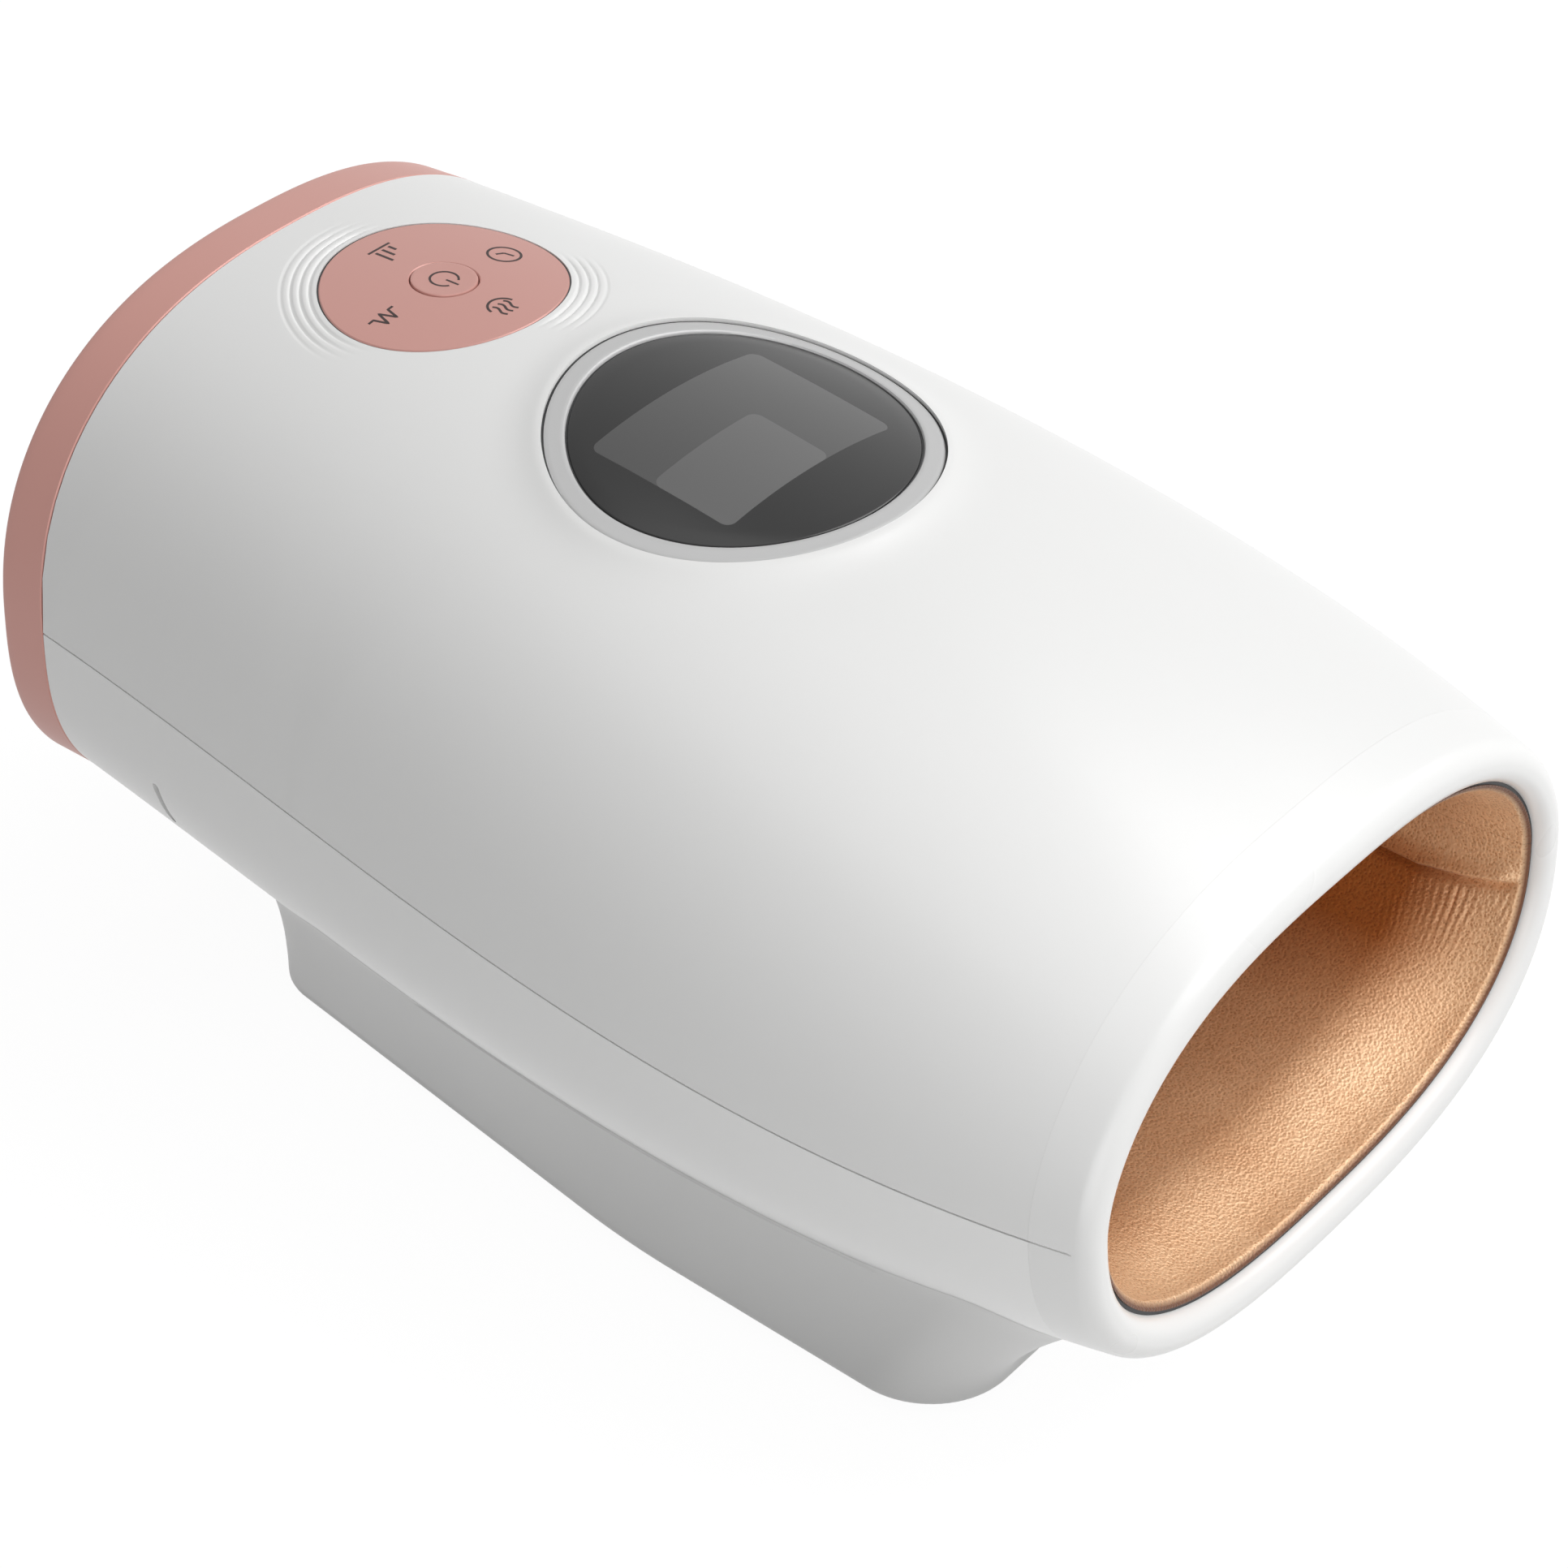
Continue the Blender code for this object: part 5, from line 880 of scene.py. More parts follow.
def base_wall(inset, count, rises, gap=GAP, steps_down=()):
    """The wall's loops, from the bottom edge's round up to the crease, where it meets the barrel.

    A wall line runs from its bottom point to its crease point, and moves outward with a power of
    its rise. Bisection finds where it comes within the gap of the skin, and it stops there. With
    steps down, the last part is the outside's finish: along the middle a groove as deep as its
    window, and at both ends a parabola that leaves the wall below the crease and runs out on the
    skin above it, so that the two surfaces blend.
    """
    outline = base_outline(-inset, count)
    x, y = outline[:, 0], outline[:, 1]
    loops = []
    for turn in np.linspace(0, np.pi / 2, 7):
        pulled = base_outline(-inset - BASE_EDGE * (1 - math.sin(turn)), count)
        rise = np.full(count, BASE_LEVEL + BASE_EDGE * (1 - math.cos(turn)))
        loops.append(np.column_stack((pulled, rise)))
    stations = (BASE_START, BASE_START + BASE_LENGTH * BASE_MIDDLE_SHARE, BASE_START + BASE_LENGTH)
    half = np.interp(y, stations, (BASE_FRONT, BASE_MIDDLE, BASE_REAR))
    across = np.clip(x / half, -1, 1)
    along = (y - BASE_START) / BASE_LENGTH
    from_rim = CREASE_START * (1 - along) + (CREASE_END - BASE_TUCK * across**4) * along
    s = from_rim / BARREL
    top_x = across * CREASE_SHARE * skin(s)[0]
    top_x = top_x * (1 - inset / np.hypot(top_x, BASE_LENGTH / 2))
    tops = np.stack((top_x, RIM_Y + from_rim, np.zeros(count)), -1)
    sizes = skin(s)
    sine = np.abs(top_x) / sizes[0]
    tops[:, 2] = sizes[3] - sizes[2] * (1 - sine ** (2 / sizes[5][0])) ** (sizes[5][1] / 2) + 0.0015
    bottoms = np.column_stack((outline, np.full(count, BASE_LEVEL + BASE_EDGE)))
    bend = 1 + 0.9 * (1 - np.abs(across) ** 3)

    def wall_point(share):
        out = share**bend
        return bottoms + (tops - bottoms) * np.stack((out, out, share), -1)

    low, high = np.full(count, 0.3), np.full(count, 1.0)
    for _ in range(26):
        middle = (low + high) / 2
        point = wall_point(middle)
        keel = over_plan(point[:, 0], point[:, 1], True, -gap)[2]
        inside = point[:, 2] > keel
        high = np.where(inside, middle, high)
        low = np.where(inside, low, middle)
    if not steps_down:
        return loops + [wall_point(low * t) for t in rises]

    crease = wall_point(low)
    heading = wall_point(low + 0.01) - crease
    heading[:, 2] = 0
    heading = heading / np.linalg.norm(heading, axis=1, keepdims=True)
    window = blend_in((along - 0.10) / 0.12) * (1 - blend_in((along - 0.70) / 0.25))
    window = window * blend_in((np.abs(across) - 0.70) / 0.25)
    groove = -heading * (GROOVE_DEPTH * window)[:, None]
    start = CREASE_BLEND + (CREASE_ROUND - CREASE_BLEND) * window
    height = np.linalg.norm(tops - bottoms, axis=1)
    finish_from = low - BLEND_FROM / height
    loops += [wall_point(finish_from * t) for t in rises]
    for share in steps_down:
        below = start + (BLEND_FROM - start) * share
        sunk = 1 - blend_in((below - GROOVE_WIDTH) / GROOVE_EDGE)
        loops.append(wall_point(low - below / height) + groove * sunk[:, None])
    leave = loops[-1]
    meet = crease + groove

    def on_skin(move):
        point = meet + heading * move[:, None]
        point[:, 2] = over_plan(point[:, 0], point[:, 1], True, -HAIRLINE)[2]
        return point

    near, beside = on_skin(np.zeros(count)), on_skin(np.full(count, 0.0005))
    slope = (beside[:, 2] - near[:, 2]) / 0.0005
    run_out = on_skin(start / np.sqrt(1 + slope**2))
    for t in np.linspace(0, 1, 9)[1:]:
        loops.append(leave * (1 - t) ** 2 + 2 * near * t * (1 - t) + run_out * t**2)
    return loops


def base():
    count = 420
    steps_down = (0.6, 0.35, 0.2, 0.165, 0.15, 0.135, 0.12, 0.105, 0.09, 0.06, 0.03, 0.0)
    outer = base_wall(0.0, count, np.linspace(0, 1, 16)[1:], HAIRLINE, steps_down)
    inner = base_wall(BASE_WALL, count, np.linspace(0, 1, 8)[1:])
    loops = outer + inner[::-1]
    looped("base_moulding", loops, base_abs, "housing", ["base_housing"], sharp=40)


base()


# Display: satin bezel, dark glass and the module under it


def egg_ring(egg, at_point, profile, count=200):
    """A profile of (grow, height) pairs carried round an egg."""
    turn = np.linspace(0, 2 * np.pi, count, endpoint=False)
    return np.array([at_point(*egg_at(egg, turn, grow), high) for grow, high in profile])


def bezel():
    profile = [(0, -BEZEL_WALL), (0, -0.0004), (-0.00012, -0.00012), (-0.0004, 0)]
    profile += [(-w * MM, 0) for w in (0.9, 1.4, 1.9, 2.4)]
    profile += [(-0.0029, 0), (-0.0031, -0.0001), (-BEZEL_WIDTH, -0.0004), (-BEZEL_WIDTH, -BEZEL_WALL)]
    loops = egg_ring(DISPLAY_EGG, display_point, profile)
    looped("display_bezel_ring", loops, silver_paint, "housing", ["display_bezel"])


def dark_glass():
    """Tinted glass over a switched-off display, whose lit area shows as two lighter panes.

    It grows lighter from left to right, as the room's light does in it.
    """
    material, tree, surface, place = new_material("tinted_glass", "#1a1a1b", 0.22, IOR=1.45)
    shifted = add(tree, "VectorMath", {"operation": "SUBTRACT", 1: (0.0, DISPLAY_Y, 0.0)}, in_0=place)
    plan = []
    for axis in ((1.0, -0.013, 0.0), (0.046, 1.0, 0.0)):
        dot = add(tree, "VectorMath", {"operation": "DOT_PRODUCT", 1: axis}, in_0=shifted.outputs[0])
        plan.append(dot.outputs["Value"])
    flat = add(tree, "CombineXYZ", X=plan[0], Y=plan[1]).outputs[0]
    pane = rounded_box_mask(tree, flat, PANE_CORNER, (0.0180, 0.01193), PANE_ROUND)
    lit = rounded_box_mask(tree, flat, PANE_CORNER, (0.0033, 0.0000), PANE_ROUND)
    smear = add(tree, "TexNoise", {"Scale": 35.0, "Detail": 3.0}, Vector=place)
    sides = add(tree, "SeparateXYZ", in_0=place)
    span = {"From Min": GLASS_SPAN[0], "From Max": GLASS_SPAN[1]}
    fade = add(tree, "MapRange", span, Value=sides.outputs["X"]).outputs[0]
    shades = []
    for left, right_side in (("#0a0a0a", "#3a3a3a"), ("#484848", "#656565"), ("#5e5e5e", "#777777")):
        ends = {"data_type": "RGBA", 6: linear(left), 7: linear(right_side)}
        shades.append(add(tree, "Mix", ends, in_0=fade).outputs[2])
    first = add(tree, "Mix", {"data_type": "RGBA"}, in_0=pane, in_6=shades[0], in_7=shades[1])
    second = add(tree, "Mix", {"data_type": "RGBA"}, in_0=lit, in_6=first.outputs[2], in_7=shades[2])
    tree.links.new(second.outputs[2], surface.inputs["Base Color"])
    gloss = add(tree, "MapRange", {"To Min": 0.20, "To Max": 0.26}, Value=smear.outputs["Fac"])
    tree.links.new(gloss.outputs[0], surface.inputs["Roughness"])
    return material


def egg_plate(name, egg, at_point, grow, top, bottom, round_edge, dome, material, body, node):
    """A plate with an egg outline: rings from its lower edge round its rim and in to its domed middle."""
    turn = np.linspace(0, 2 * np.pi, 200, endpoint=False)
    u, v = egg_at(egg, turn, grow)
    loops = [at_point(u, v, bottom), at_point(u, v, top - round_edge)]
    for inset, low in arc((round_edge, round_edge), round_edge, 180, 270, 5)[1:]:
        u_in, v_in = egg_at(egg, turn, grow - inset)
        loops.append(at_point(u_in, v_in, top - low))
    u_in, v_in = egg_at(egg, turn, grow - round_edge)
    for t in (0.9, 0.75, 0.6, 0.45, 0.3, 0.15, 0.03):
        loops.append(at_point(u_in * t, v_in * t, top + dome * (1 - t * t)))
    looped(name, loops, material, body, [node], capped=True)


def dark_gaps():
    """Black rings in the gaps at the bezel's two edges and round the panel: painted shadow, so that the gaps
    read as thin dark lines.
    """
    lines = (
        (DISPLAY_EGG, display_point, 0.00002, -0.0002),
        (DISPLAY_EGG, display_point, -BEZEL_WIDTH - GAP + 0.00002, -GLASS_LOW - 0.0002),
        (PANEL_EGG, crown_height, 0.00002, -0.0002),
    )
    points, faces, first = [], [], 0
    for egg, at_point, grow, top in lines:
        width = GAP - 0.00004
        profile = [(grow, top - 0.0008), (grow, top), (grow + width, top), (grow + width, top - 0.0008)]
        ring = egg_ring(egg, at_point, profile)
        points.append(ring.reshape(-1, 3))
        faces += (ring_faces(*ring.shape[:2]) + first).tolist()
        first += len(points[-1])
    piece("gap_painted_shadows", np.concatenate(points), faces, black_abs, "housing", ())


bezel()
dark_gaps()
egg_plate(
    "display_glass", DISPLAY_EGG, display_point, -BEZEL_WIDTH - GAP, -GLASS_LOW,
    -GLASS_LOW - GLASS_WALL, 0.0003, 0.0002, dark_glass(), "housing", "display_window",
)


# Control panel, its printed signs and the power button


def panel_plate():
    """The curved plate between the button's hole and the egg outline, its edges slightly rounded."""
    turn = np.linspace(0, 2 * np.pi, 200, endpoint=False)
    hole = BUTTON_RADIUS + PANEL_EDGE
    out_u, out_v = egg_at(PANEL_EGG, turn)
    heading = np.arctan2(out_v, out_u)
    in_u, in_v = hole * np.cos(heading), hole * np.sin(heading)
    length = np.hypot(out_u - in_u, out_v - in_v)

    def at(share, lift):
        return crown_height(in_u + (out_u - in_u) * share, in_v + (out_v - in_v) * share, lift)

    edge = PANEL_EDGE / length
    loops = [at(0.0, -PANEL_WALL), at(0.0, -PANEL_EDGE), at(edge, 0.0)]
    loops += [at(edge + (1 - 2 * edge) * t, 0.0) for t in np.linspace(0, 1, 18)[1:-1]]
    loops += [at(1 - edge, 0.0), at(1.0, -PANEL_EDGE), at(1.0, -PANEL_WALL)]
    looped("touch_panel", loops, rose_gold, "housing", ["control_panel"])


SIGN_LIFT = 0.00003
SIGN_SUNK = 0.00005


def strokes(name, lines, height_of, body):
    """Printed lines as one mesh: each line is a thin bar of its own width that follows the surface."""
    points, faces, first = [], [], 0
    for line, width in lines:
        line = np.asarray(line, float) * MM
        closed = np.allclose(line[0], line[-1])
        ahead = np.gradient(line, axis=0)
        if closed:
            ahead[0] = ahead[-1] = line[1] - line[-2]
        ahead = ahead / np.linalg.norm(ahead, axis=1, keepdims=True)
        side = np.stack((-ahead[:, 1], ahead[:, 0]), -1) * width * MM / 2
        left, right = line + side, line - side
        corners = ((left, -SIGN_SUNK), (left, SIGN_LIFT), (right, SIGN_LIFT), (right, -SIGN_SUNK))
        block = np.array([height_of(edge[:, 0], edge[:, 1], high) for edge, high in corners])
        if closed:
            block = block[:, :-1]
        count = block.shape[1]
        made = faces_of(4, count, wrap_rows=True, wrap_columns=closed, first=first).tolist()
        if not closed:
            index = first + np.arange(4 * count).reshape(4, count)
            made += [index[:, 0].tolist(), index[::-1, -1].tolist()]
        points.append(block.reshape(-1, 3))
        faces += made
        first += 4 * count
    piece(name, np.concatenate(points), faces, print_ink, body, ())


def circle_line(x, y, radius, start, end, count=40):
    angles = np.radians(np.linspace(start, end, count))
    return np.stack((x + radius * np.cos(angles), y + radius * np.sin(angles)), -1)


def straight(*corners):
    """A line through the corners, read every fifth of a millimetre or so."""
    found = [np.asarray(corners[0], float)[None]]
    for a, b in zip(corners, corners[1:]):
        steps = max(2, int(math.dist(a, b) / 0.2))
        t = np.linspace(0, 1, steps + 1)[1:, None]
        found.append(np.asarray(a) * (1 - t) + np.asarray(b) * t)
    return np.concatenate(found)


def panel_signs():
    """A clock, heat waves under an arc, three level bars and a pulse, each about 5 mm wide."""
    thin = 0.42
    lines = []
    clock = (13.1, -1.2)
    lines.append((circle_line(*clock, 2.65, 0, 360, 60), thin))
    hands = [(clock[0] - 1.0, clock[1] + 0.9), (clock[0] + 0.3, clock[1] + 0.3)]
    lines.append((straight(*hands), thin))
    lines.append((straight(hands[1], (clock[0] + 0.7, clock[1] - 1.4)), thin))
    heat = (-0.5, -12.4)
    lines.append((circle_line(heat[0], heat[1], 2.5, 170, 8, 30), thin))
    for x in (-1.3, 0.0, 1.3):
        t = np.linspace(0, 1, 24)
        wave = np.stack((heat[0] + x + 0.32 * np.sin(2 * np.pi * t), heat[1] + 1.2 - 3.1 * t), -1)
        lines.append((wave, thin))
    level = (1.0, 12.0)
    for number, tall in enumerate((1.6, 2.6, 3.6)):
        x = level[0] + 1.5 - 1.5 * number
        lines.append((straight((x, level[1] + 1.6), (x, level[1] + 1.6 - tall)), 0.5))
    lines.append((straight((level[0] - 2.5, level[1] + 2.3), (level[0] + 2.5, level[1] + 2.3)), thin))
    mode = (-13.8, 0.2)
    pulse = [(2.8, 0.9), (1.7, 0.9), (1.0, -1.6), (0.0, 1.3), (-1.0, -1.6), (-1.7, 0.9), (-2.8, 0.9)]
    lines.append((straight(*[(mode[0] + x, mode[1] + y) for x, y in pulse]), thin))
    strokes("panel_signs", lines, crown_height, "housing")


BUTTON_BRIM = 0.5


def button():
    """A turned key: a dished face with a rounded rim, a skirt, a flange and a stem, as the model has."""
    r = BUTTON_RADIUS / MM
    flat = r - BUTTON_BRIM
    face = [(x, 0.02 + 0.06 * (x / flat) ** 2) for x in np.linspace(0.2, flat, 9)]
    rim_edge = [(r - 0.22, 0.08), (r - 0.08, 0.03), (r, -0.12)]
    rest = [(r, -2.2), (r + 1.2, -2.2), (r + 1.2, -3.0), (1.6, -3.0), (1.6, -5.0)]
    profile = np.array(face + rim_edge + rest) * MM
    turn = np.linspace(0, 2 * np.pi, 96, endpoint=False)
    loops = [panel_point(x * np.cos(turn), x * np.sin(turn), z) for x, z in profile]
    looped(
        "power_key", loops, rose_gold, "power_button", ["power_button"], capped=True
    )


def button_sign():
    """The power sign: most of a circle, and a bar through its gap, which faces the opening."""
    face_radius = BUTTON_RADIUS / MM - BUTTON_BRIM

    def on_face(u, v, over):
        away = np.hypot(u, v) / MM
        return panel_point(u, v, (0.02 + 0.06 * (away / face_radius) ** 2) * MM + over)

    lines = [(circle_line(0, 0, 2.25, -60, 240, 50), 0.38), (straight((0, -0.4), (0, -2.9)), 0.38)]
    strokes("power_sign", lines, on_face, "power_button")


panel_plate()
panel_signs()
button()
button_sign()


# Soft parts: the leather glove, and the pads and the airbag behind it

CRADLE_SEAM = 0.0500
TUNNEL_DEPTH = 0.165
GLOVE_END = (TUNNEL_DEPTH - GAP * 10) / BARREL
GLOVE_START = GLOVE_END - 0.034 / BARREL
HALF_GIRTH = 95
SLACK = 0.00045
FOLD_BELOW = 7.5
FOLD_DROP = 0.55
FOLD_RISE = 0.0013
FOLD_SUNK = 0.0009
WRINKLE_STEP = 1.4
WRINKLE_HEIGHT = 0.00034
CRADLE_WALL = 0.0018
ROOM_AT = (0.0, 0.10, 0.25, 0.49, 0.70, 0.82)
TOP_ROOM = np.array((0.086, 0.190, 0.420, 0.819, 0.968, 1.0)) * 0.0274
SIDE_ROOM = np.array((0.30, 0.60, 1.0, 0.94, 0.75, 0.68)) * 0.0062
FLOOR_ROOM = 0.0013
SIDE_PAD = 0.0029
LAYER_GAP = 0.0006
AIRBAG_WALL = 0.0050
HEATER_WALL = 0.0010
FOAM_WALL = 0.0030
CEILING_STACK = 3 * LAYER_GAP + AIRBAG_WALL + HEATER_WALL + 0.0015
FLOOR_STACK = 2 * LAYER_GAP + FOAM_WALL
LINING_WALL = 0.0012
TUNNEL_POWERS = ((0.92, 0.92), (0.92, 0.92))


def cradle_sizes(s):
    half, crown, keel, seam, _, _ = skin(s)
    top = seam + crown - WALL - np.interp(s, ROOM_AT, TOP_ROOM)
    bottom = seam - keel + WALL + FLOOR_ROOM
    side = half - WALL - np.interp(s, ROOM_AT, SIDE_ROOM)
    return side, top - CRADLE_SEAM, CRADLE_SEAM - bottom, np.full_like(side, CRADLE_SEAM)


def glove_sizes(s, inset=0.0):
    """The glove's outer sizes: the rim's opening at the front, the cradle's layers further in."""
    s = np.asarray(s, float)
    side, top, bottom, seam = cradle_sizes(s)
    inside = (
        side - CRADLE_WALL - SIDE_PAD,
        top - CRADLE_WALL - CEILING_STACK,
        bottom - CRADLE_WALL - FLOOR_STACK,
        seam,
    )
    mouth = skin(0.0, RIM_WIDTH + 2 * GAP)
    rim_share = RIM_DEPTH / BARREL
    share = blend_in((s - rim_share / 2) / (2 * rim_share))
    past = np.clip(s - GLOVE_START, 0, None) / (GLOVE_END - GLOVE_START)
    closing = np.sqrt(np.clip(1 - past**2, 0, 1))
    reach = [(m * (1 - share) + i * share) * closing - inset * closing for m, i in zip(mouth[:3], inside)]
    seam = mouth[3] * (1 - share) + seam * share
    powers = []
    for pair, own in zip(mouth[4:], TUNNEL_POWERS):
        powers.append(tuple(m * (1 - share) + o * share for m, o in zip(pair, own)))
    return (*reach, seam, *powers)


def glove_stations(rows):
    """Stations that are close together near the mouth, and at the closed end even in angle."""
    dense = np.arange(LEATHER_FRONT, 0.034, 0.00028) / BARREL
    straight_run = np.concatenate((dense[:-1], np.linspace(dense[-1], GLOVE_START, rows)))
    turns = np.linspace(0, math.acos(0.10), rows // 2)[1:]
    return np.concatenate((straight_run, GLOVE_START + (GLOVE_END - GLOVE_START) * np.sin(turns)))


def hash_waves(a, b, seed):
    """A smooth random field: a sum of eight sine waves whose headings and phases come from the seed."""
    made = np.random.default_rng(seed)
    total = np.zeros(np.broadcast(a, b).shape)
    for _ in range(8):
        heading, phase, pace = made.uniform(0, np.pi), made.uniform(0, 6.3), made.uniform(0.6, 1.6)
        total = total + np.sin(pace * (a * math.cos(heading) + b * math.sin(heading)) + phase)
    return total / 8


def glove_half(name, under, node, body):
    """Half of the glove: its hidden face follows the frame, its open face is slack and wrinkled.

    Along the barrel and round it, run and girth are in millimetres. The slack is a smooth random
    field that dies out at the mouth and at the side seams.
    Under the right-hand seam the leather hangs over itself as a fold, which starts 7.5 mm below
    the seam and drops by 0.55 mm in each millimetre of depth. A fan of fine wrinkles, 1.4 mm
    apart, runs down the wall from it. The front edge is skived to a quarter of the thickness.
    """
    s = glove_stations(44)[:, None]
    across = np.concatenate((np.linspace(-1, 0.45, 91)[:-1], np.linspace(0.45, 1, 121)))[None, :]
    outer_sizes = glove_sizes(s)
    outer = section(outer_sizes, s, across * edge_of(outer_sizes, under), under)
    run = s * BARREL / MM
    front = LEATHER_FRONT / MM
    inner_sizes = glove_sizes(s, LINING_WALL * (0.25 + 0.75 * blend_in((run - front) / 0.9)))
    inner = section(inner_sizes, s, across * edge_of(inner_sizes, under, HAIRLINE), under)
    inward = inner - outer
    inward = inward / (np.linalg.norm(inward, axis=-1, keepdims=True) + 1e-9)
    girth = across * HALF_GIRTH
    slack = hash_waves(run / 9, girth / 9, 4 if under else 9)
    deep = blend_in((run - 6) / 20)
    hem = blend_in((1 - np.abs(across)) / 0.035)
    from_seam = (1 - across) * HALF_GIRTH
    lift = SLACK * slack * deep * hem
    if under:
        below = from_seam - FOLD_BELOW - FOLD_DROP * np.clip(run, 0, 20)
        over_edge = np.where(below < 0, np.exp(-((below / 4) ** 2)), 0)
        valley = np.exp(-((below / np.where(below < 0, 0.5, 2.2)) ** 2))
        fade = blend_in((run - front) / 4) * (1 - blend_in((run - 34) / 20))
        lift = lift + (FOLD_RISE * over_edge - FOLD_SUNK * valley) * fade
        slant = below * (0.20 - 0.018 * np.clip(run, 0, 24))
        phase = (run - slant) / WRINKLE_STEP + 1.7 * hash_waves(run / 7, girth / 14, 2)
        wrinkles = np.abs(np.sin(np.pi * phase)) ** 0.5
        patchy = 0.6 + 1.3 * hash_waves(run / 2, girth / 7, 6)
        reach = blend_in((below - 1) / 3) * (1 - blend_in((below - 10) / 22))
        span = blend_in((run - 2.5) / 3) * (1 - blend_in((run - 20) / 8))
        height = WRINKLE_HEIGHT * (wrinkles - 0.7)
        lift = lift + height * np.clip(patchy, 0.1, 1.2) * reach * span
    inner = inner + inward * lift[..., None]
    faces = sheet_faces(len(s), across.size)
    glove = piece(name, (outer, inner), faces, leather, body, [node], sharp=60)
    return glove


ceiling_glove = glove_half("leather_ceiling", False, "lining_upper", None)
glove_half("leather_floor", True, "lining_lower", "housing")


def pad_between(name, node, low, thick, span, half_angle, under, crown, material, body, channels=0):
    """A padded layer over the glove: both faces follow it, and the thickness is crowned.

    It falls to a third at the edges as (1 - a ** 6) (1 - b ** 6) of the two shares from its middle,
    and each sewn channel across it takes a narrow valley out of the free face.
    """
    rows, columns = 80, 80
    a = np.linspace(-1, 1, rows)[:, None]
    b = np.linspace(-1, 1, columns)[None, :]
    s = span[0] + (span[1] - span[0]) * (a + 1) / 2
    sizes = glove_sizes(s)
    powers = sizes[5] if under else sizes[4]
    x_share = np.abs(np.sin(math.radians(half_angle) * b)) ** powers[0] * np.sign(b)
    across = np.arcsin(np.clip(x_share, -1, 1)) * 2 / np.pi
    full = (1 - a**6) * (1 - b**6)
    full = 0.35 + 0.65 * full**0.5
    for number in range(channels):
        place = -1 + 2 * (number + 1) / (channels + 1)
        full = full - crown * np.exp(-(((a - place) / 0.03) ** 2)) * (1 - b**6)
    faces = []
    for lift in (low + thick * full, low + 0 * full):
        grown = (sizes[0] + 0 * lift, sizes[1] + lift, sizes[2] + lift, *sizes[3:])
        faces.append(section(grown, s, across, under))
    made = piece(name, faces, sheet_faces(rows, columns), material, body, [node], sharp=60)
    return made


AIRBAG_REAR = 0.1105 + 0.026 + 0.0044 + 0.008 - 0.0005
AIRBAG_SPAN = (0.17, AIRBAG_REAR / BARREL)
pad_between(
    "heater_blanket", "heating_pad", LAYER_GAP, HEATER_WALL, (0.21, 0.60), 34, False, 0.0,
    heater_film, "ceiling_cushion",
)
airbag = pad_between(
    "air_cushion", "upper_airbag", 2 * LAYER_GAP + HEATER_WALL, AIRBAG_WALL, AIRBAG_SPAN, 42, False, 0.28,
    bag_cloth, None, channels=4,
)
pad_between(
    "palm_pad", "palm_foam", LAYER_GAP, FOAM_WALL, (0.21, 0.66), 48, True, 0.0,
    foam, "housing",
)
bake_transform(ceiling_glove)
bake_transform(airbag)


# Finishes of the parts that keep the model's own shape

FINISHES = (
    (inside_abs, "upper_cradle lower_cradle pump_bracket base_plate"),
    (
        black_abs,
        "valve_body valve_plunger pump_head tact_switch display_header motor_end_cap lcd_module "
        "charging_socket",
    ),
    (board_green, "main_board key_board socket_board"),
    (
        zinc_steel,
        "motor_can pump_crank board_screw_1 board_screw_2 board_screw_3 board_screw_4 "
        "key_board_screw_1 key_board_screw_2 base_screw_1 base_screw_2 base_screw_3 base_screw_4",
    ),
    (copper, "motor_rotor"),
    (silicone, "air_hose relief_hose"),
    (cell_wrap, "battery_pack"),
    (wire_pvc, "battery_lead charge_lead key_ribbon"),
    (
        rubber,
        "rubber_foot_front_left rubber_foot_front_right rubber_foot_rear_left rubber_foot_rear_right",
    ),
)
for material, names in FINISHES:
    for name in names.split():
        node = frame["nodes"][name]
        node.data.materials.clear()
        node.data.materials.append(material)


# Studio


def seen_plainly(tree):
    """One for camera, glossy and transmission rays, which see the background as plain white."""
    path = add(tree, "LightPath")
    seen = path.outputs["Is Transmission Ray"]
    for ray in ("Is Glossy Ray", "Is Camera Ray"):
        seen = add(tree, "Math", {"operation": "MAXIMUM"}, in_0=path.outputs[ray], in_1=seen).outputs[0]
    return seen


FLOOR_HALF = 4.0
FLOOR_SUNK = 0.0001


def floor():
    """A wide plain floor just under the feet, white to the camera and pale to everything else."""
    mesh = bpy.data.meshes.new("studio_floor")
    corners = [(x * FLOOR_HALF, y * FLOOR_HALF, -FLOOR_SUNK) for x, y in ((-1, -1), (1, -1), (1, 1), (-1, 1))]
    mesh.from_pydata(corners, [], [(0, 1, 2, 3)])
    ground = placed("studio_floor", mesh)
    material, tree, surface, place = new_material("studio_paper", "#d8d8d8", 0.9)
    surface.inputs["Specular IOR Level"].default_value = 0.1
    fibres = add(tree, "TexNoise", {"Scale": 300.0, "Detail": 3.0}, Vector=place)
    pale = {"data_type": "RGBA", 6: linear("#d4d4d4"), 7: linear("#dadada")}
    tone = add(tree, "Mix", pale, in_0=fibres.outputs["Fac"])
    tree.links.new(tone.outputs[2], surface.inputs["Base Color"])
    seen = seen_plainly(tree)
    glow = add(tree, "Emission", {"Color": (1, 1, 1, 1), "Strength": 0.94})
    faint = add(tree, "BsdfDiffuse", {"Color": (0.12, 0.12, 0.12, 1.0)})
    white = add(tree, "AddShader", in_0=glow.outputs[0], in_1=faint.outputs[0])
    seen_share = add(tree, "MixShader", in_0=seen, in_1=surface.outputs[0], in_2=white.outputs[0])
    tree.links.new(seen_share.outputs[0], tree.nodes["Material Output"].inputs["Surface"])
    mesh.materials.append(material)


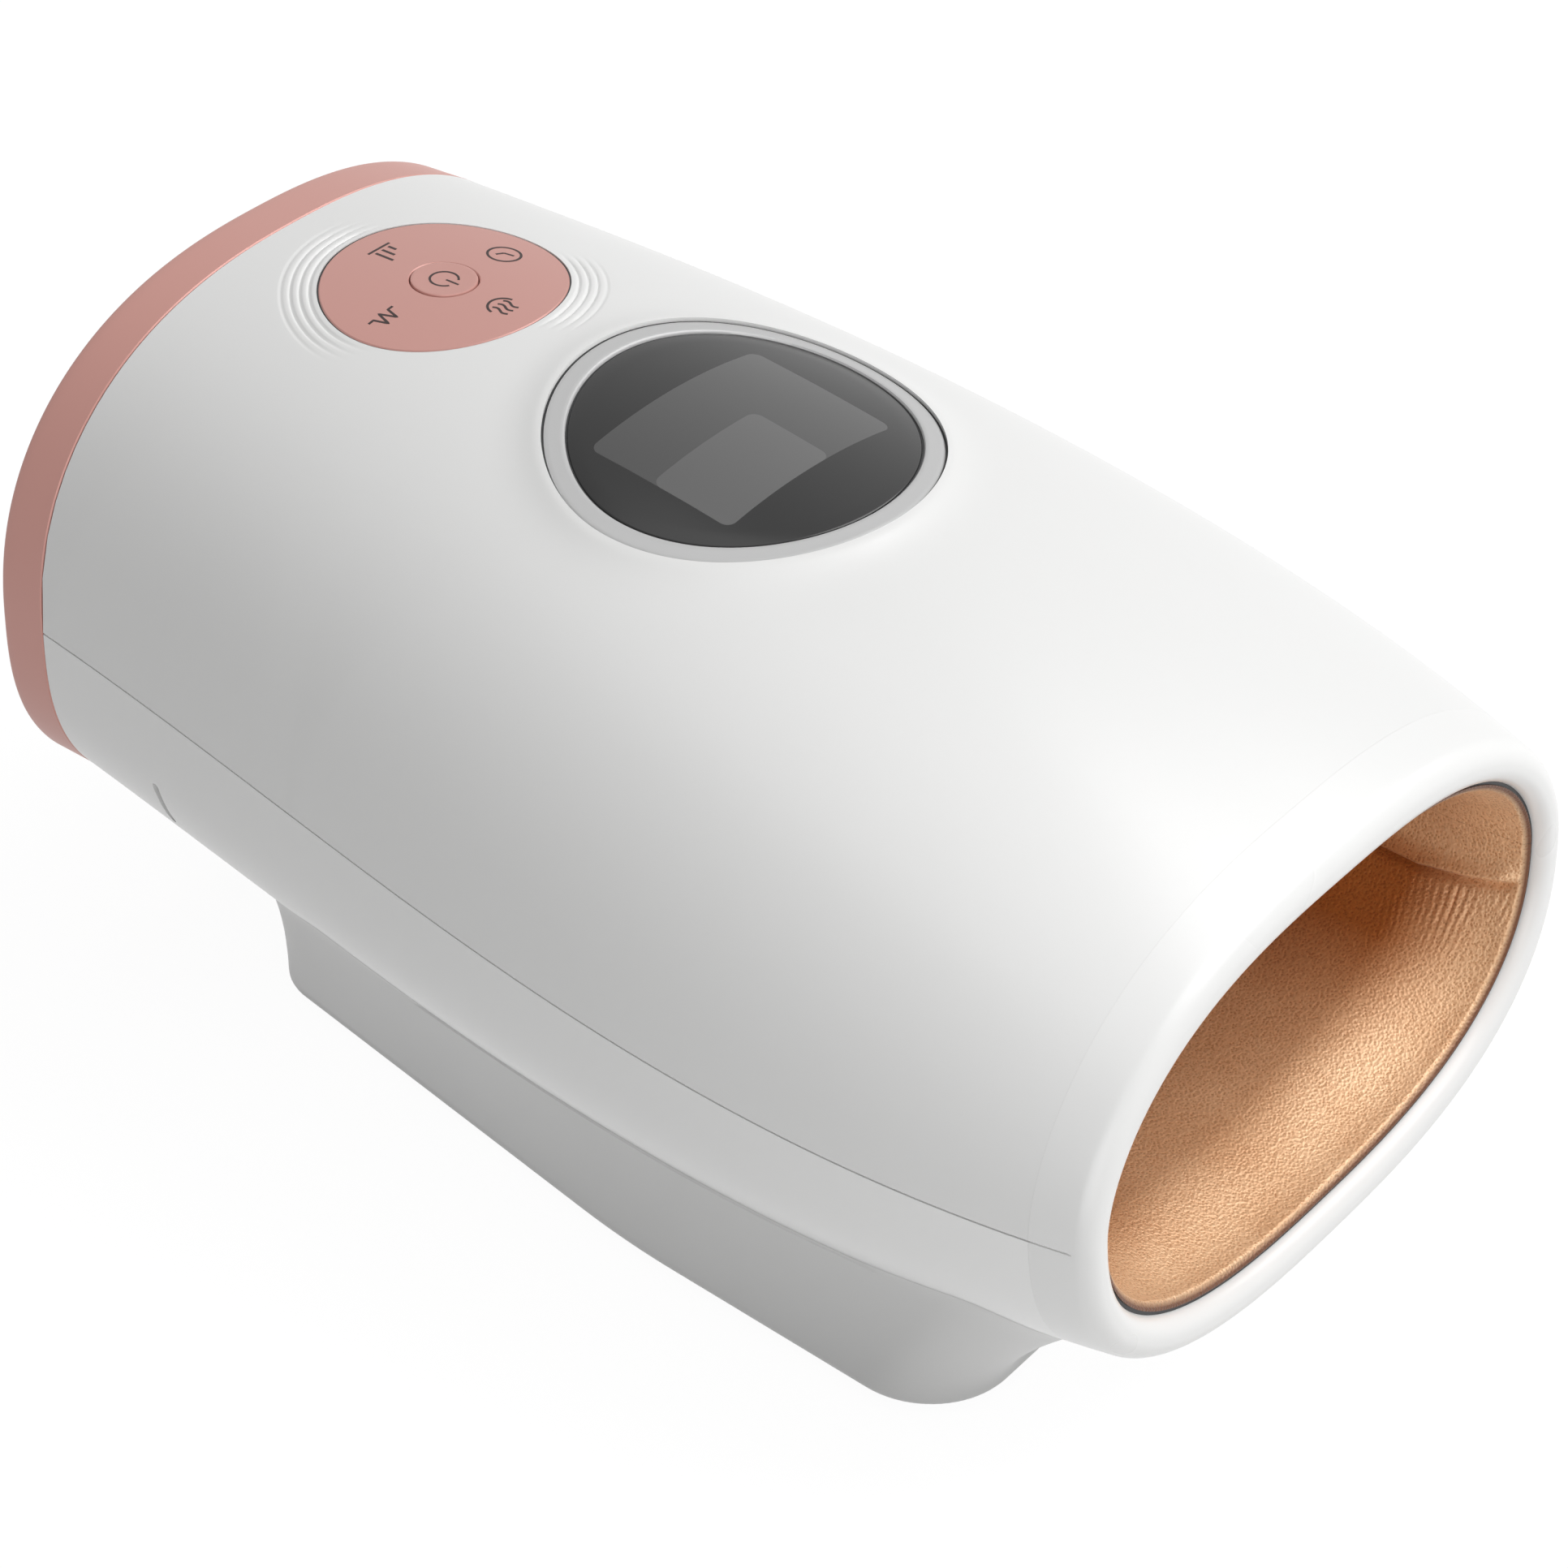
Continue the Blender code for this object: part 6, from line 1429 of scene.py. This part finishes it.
def world():
    """An even pale sky. The camera sees it as plain white."""
    sky = bpy.data.worlds.new("studio_world")
    bpy.context.scene.world = sky
    sky.use_nodes = True
    tree = sky.node_tree
    back = tree.nodes["Background"]
    back.inputs["Color"].default_value = (1, 1, 1, 1)
    strength = add(tree, "MapRange", {"To Min": 0.17, "To Max": 1.0}, Value=seen_plainly(tree))
    tree.links.new(strength.outputs[0], back.inputs["Strength"])


LAMP_TARGET = Vector((0.0, 0.0, 0.06))
LAMP_SIDE = 1.0


def lamp(name, place, power):
    """A square soft box that faces the object."""
    light = bpy.data.lights.new(name, "AREA")
    light.shape = "RECTANGLE"
    light.size = LAMP_SIDE
    light.size_y = LAMP_SIDE
    light.energy = power
    made = placed(name, light)
    made.location = place
    made.rotation_euler = (LAMP_TARGET - Vector(place)).to_track_quat("-Z", "Y").to_euler()


floor()
world()
lamp("front_right_box", (0.650, -0.650, 0.979), 12.3)
lamp("top_box", (0.0, 0.0, 1.360), 3.2)
lamp("front_left_low_box", (-0.899, -0.899, 0.330), 6.0)

# Camera at the photograph's own viewing angle

camera_data = bpy.data.cameras.new("photo_camera")
camera = placed("photo_camera", camera_data)
PHOTO_PIXELS = 1932
FOCUS_PIXELS = 5876.68
SENSOR = 36.0
CAMERA_PLACE = (-0.494644, -0.366009, 0.473520)
azimuth, elevation, roll = -0.93549682, 0.60253996, 0.0188944
flat_part = math.cos(elevation)
back = Vector((math.sin(azimuth) * flat_part, -math.cos(azimuth) * flat_part, math.sin(elevation)))
right = Vector((math.cos(azimuth), math.sin(azimuth), 0.0))
up = back.cross(right)
turned_right = math.cos(roll) * right + math.sin(roll) * up
turned_up = math.cos(roll) * up - math.sin(roll) * right
rotation = Matrix((turned_right, turned_up, back)).transposed()
camera.matrix_world = Matrix.Translation(CAMERA_PLACE) @ rotation.to_4x4()
camera_data.sensor_width = SENSOR
camera_data.lens = SENSOR * FOCUS_PIXELS / PHOTO_PIXELS
camera_data.shift_x = 0.0018
camera_data.shift_y = 0.0006
camera_data.clip_start = 0.01
bpy.context.scene.camera = camera
bpy.context.scene.view_settings.view_transform = "Standard"
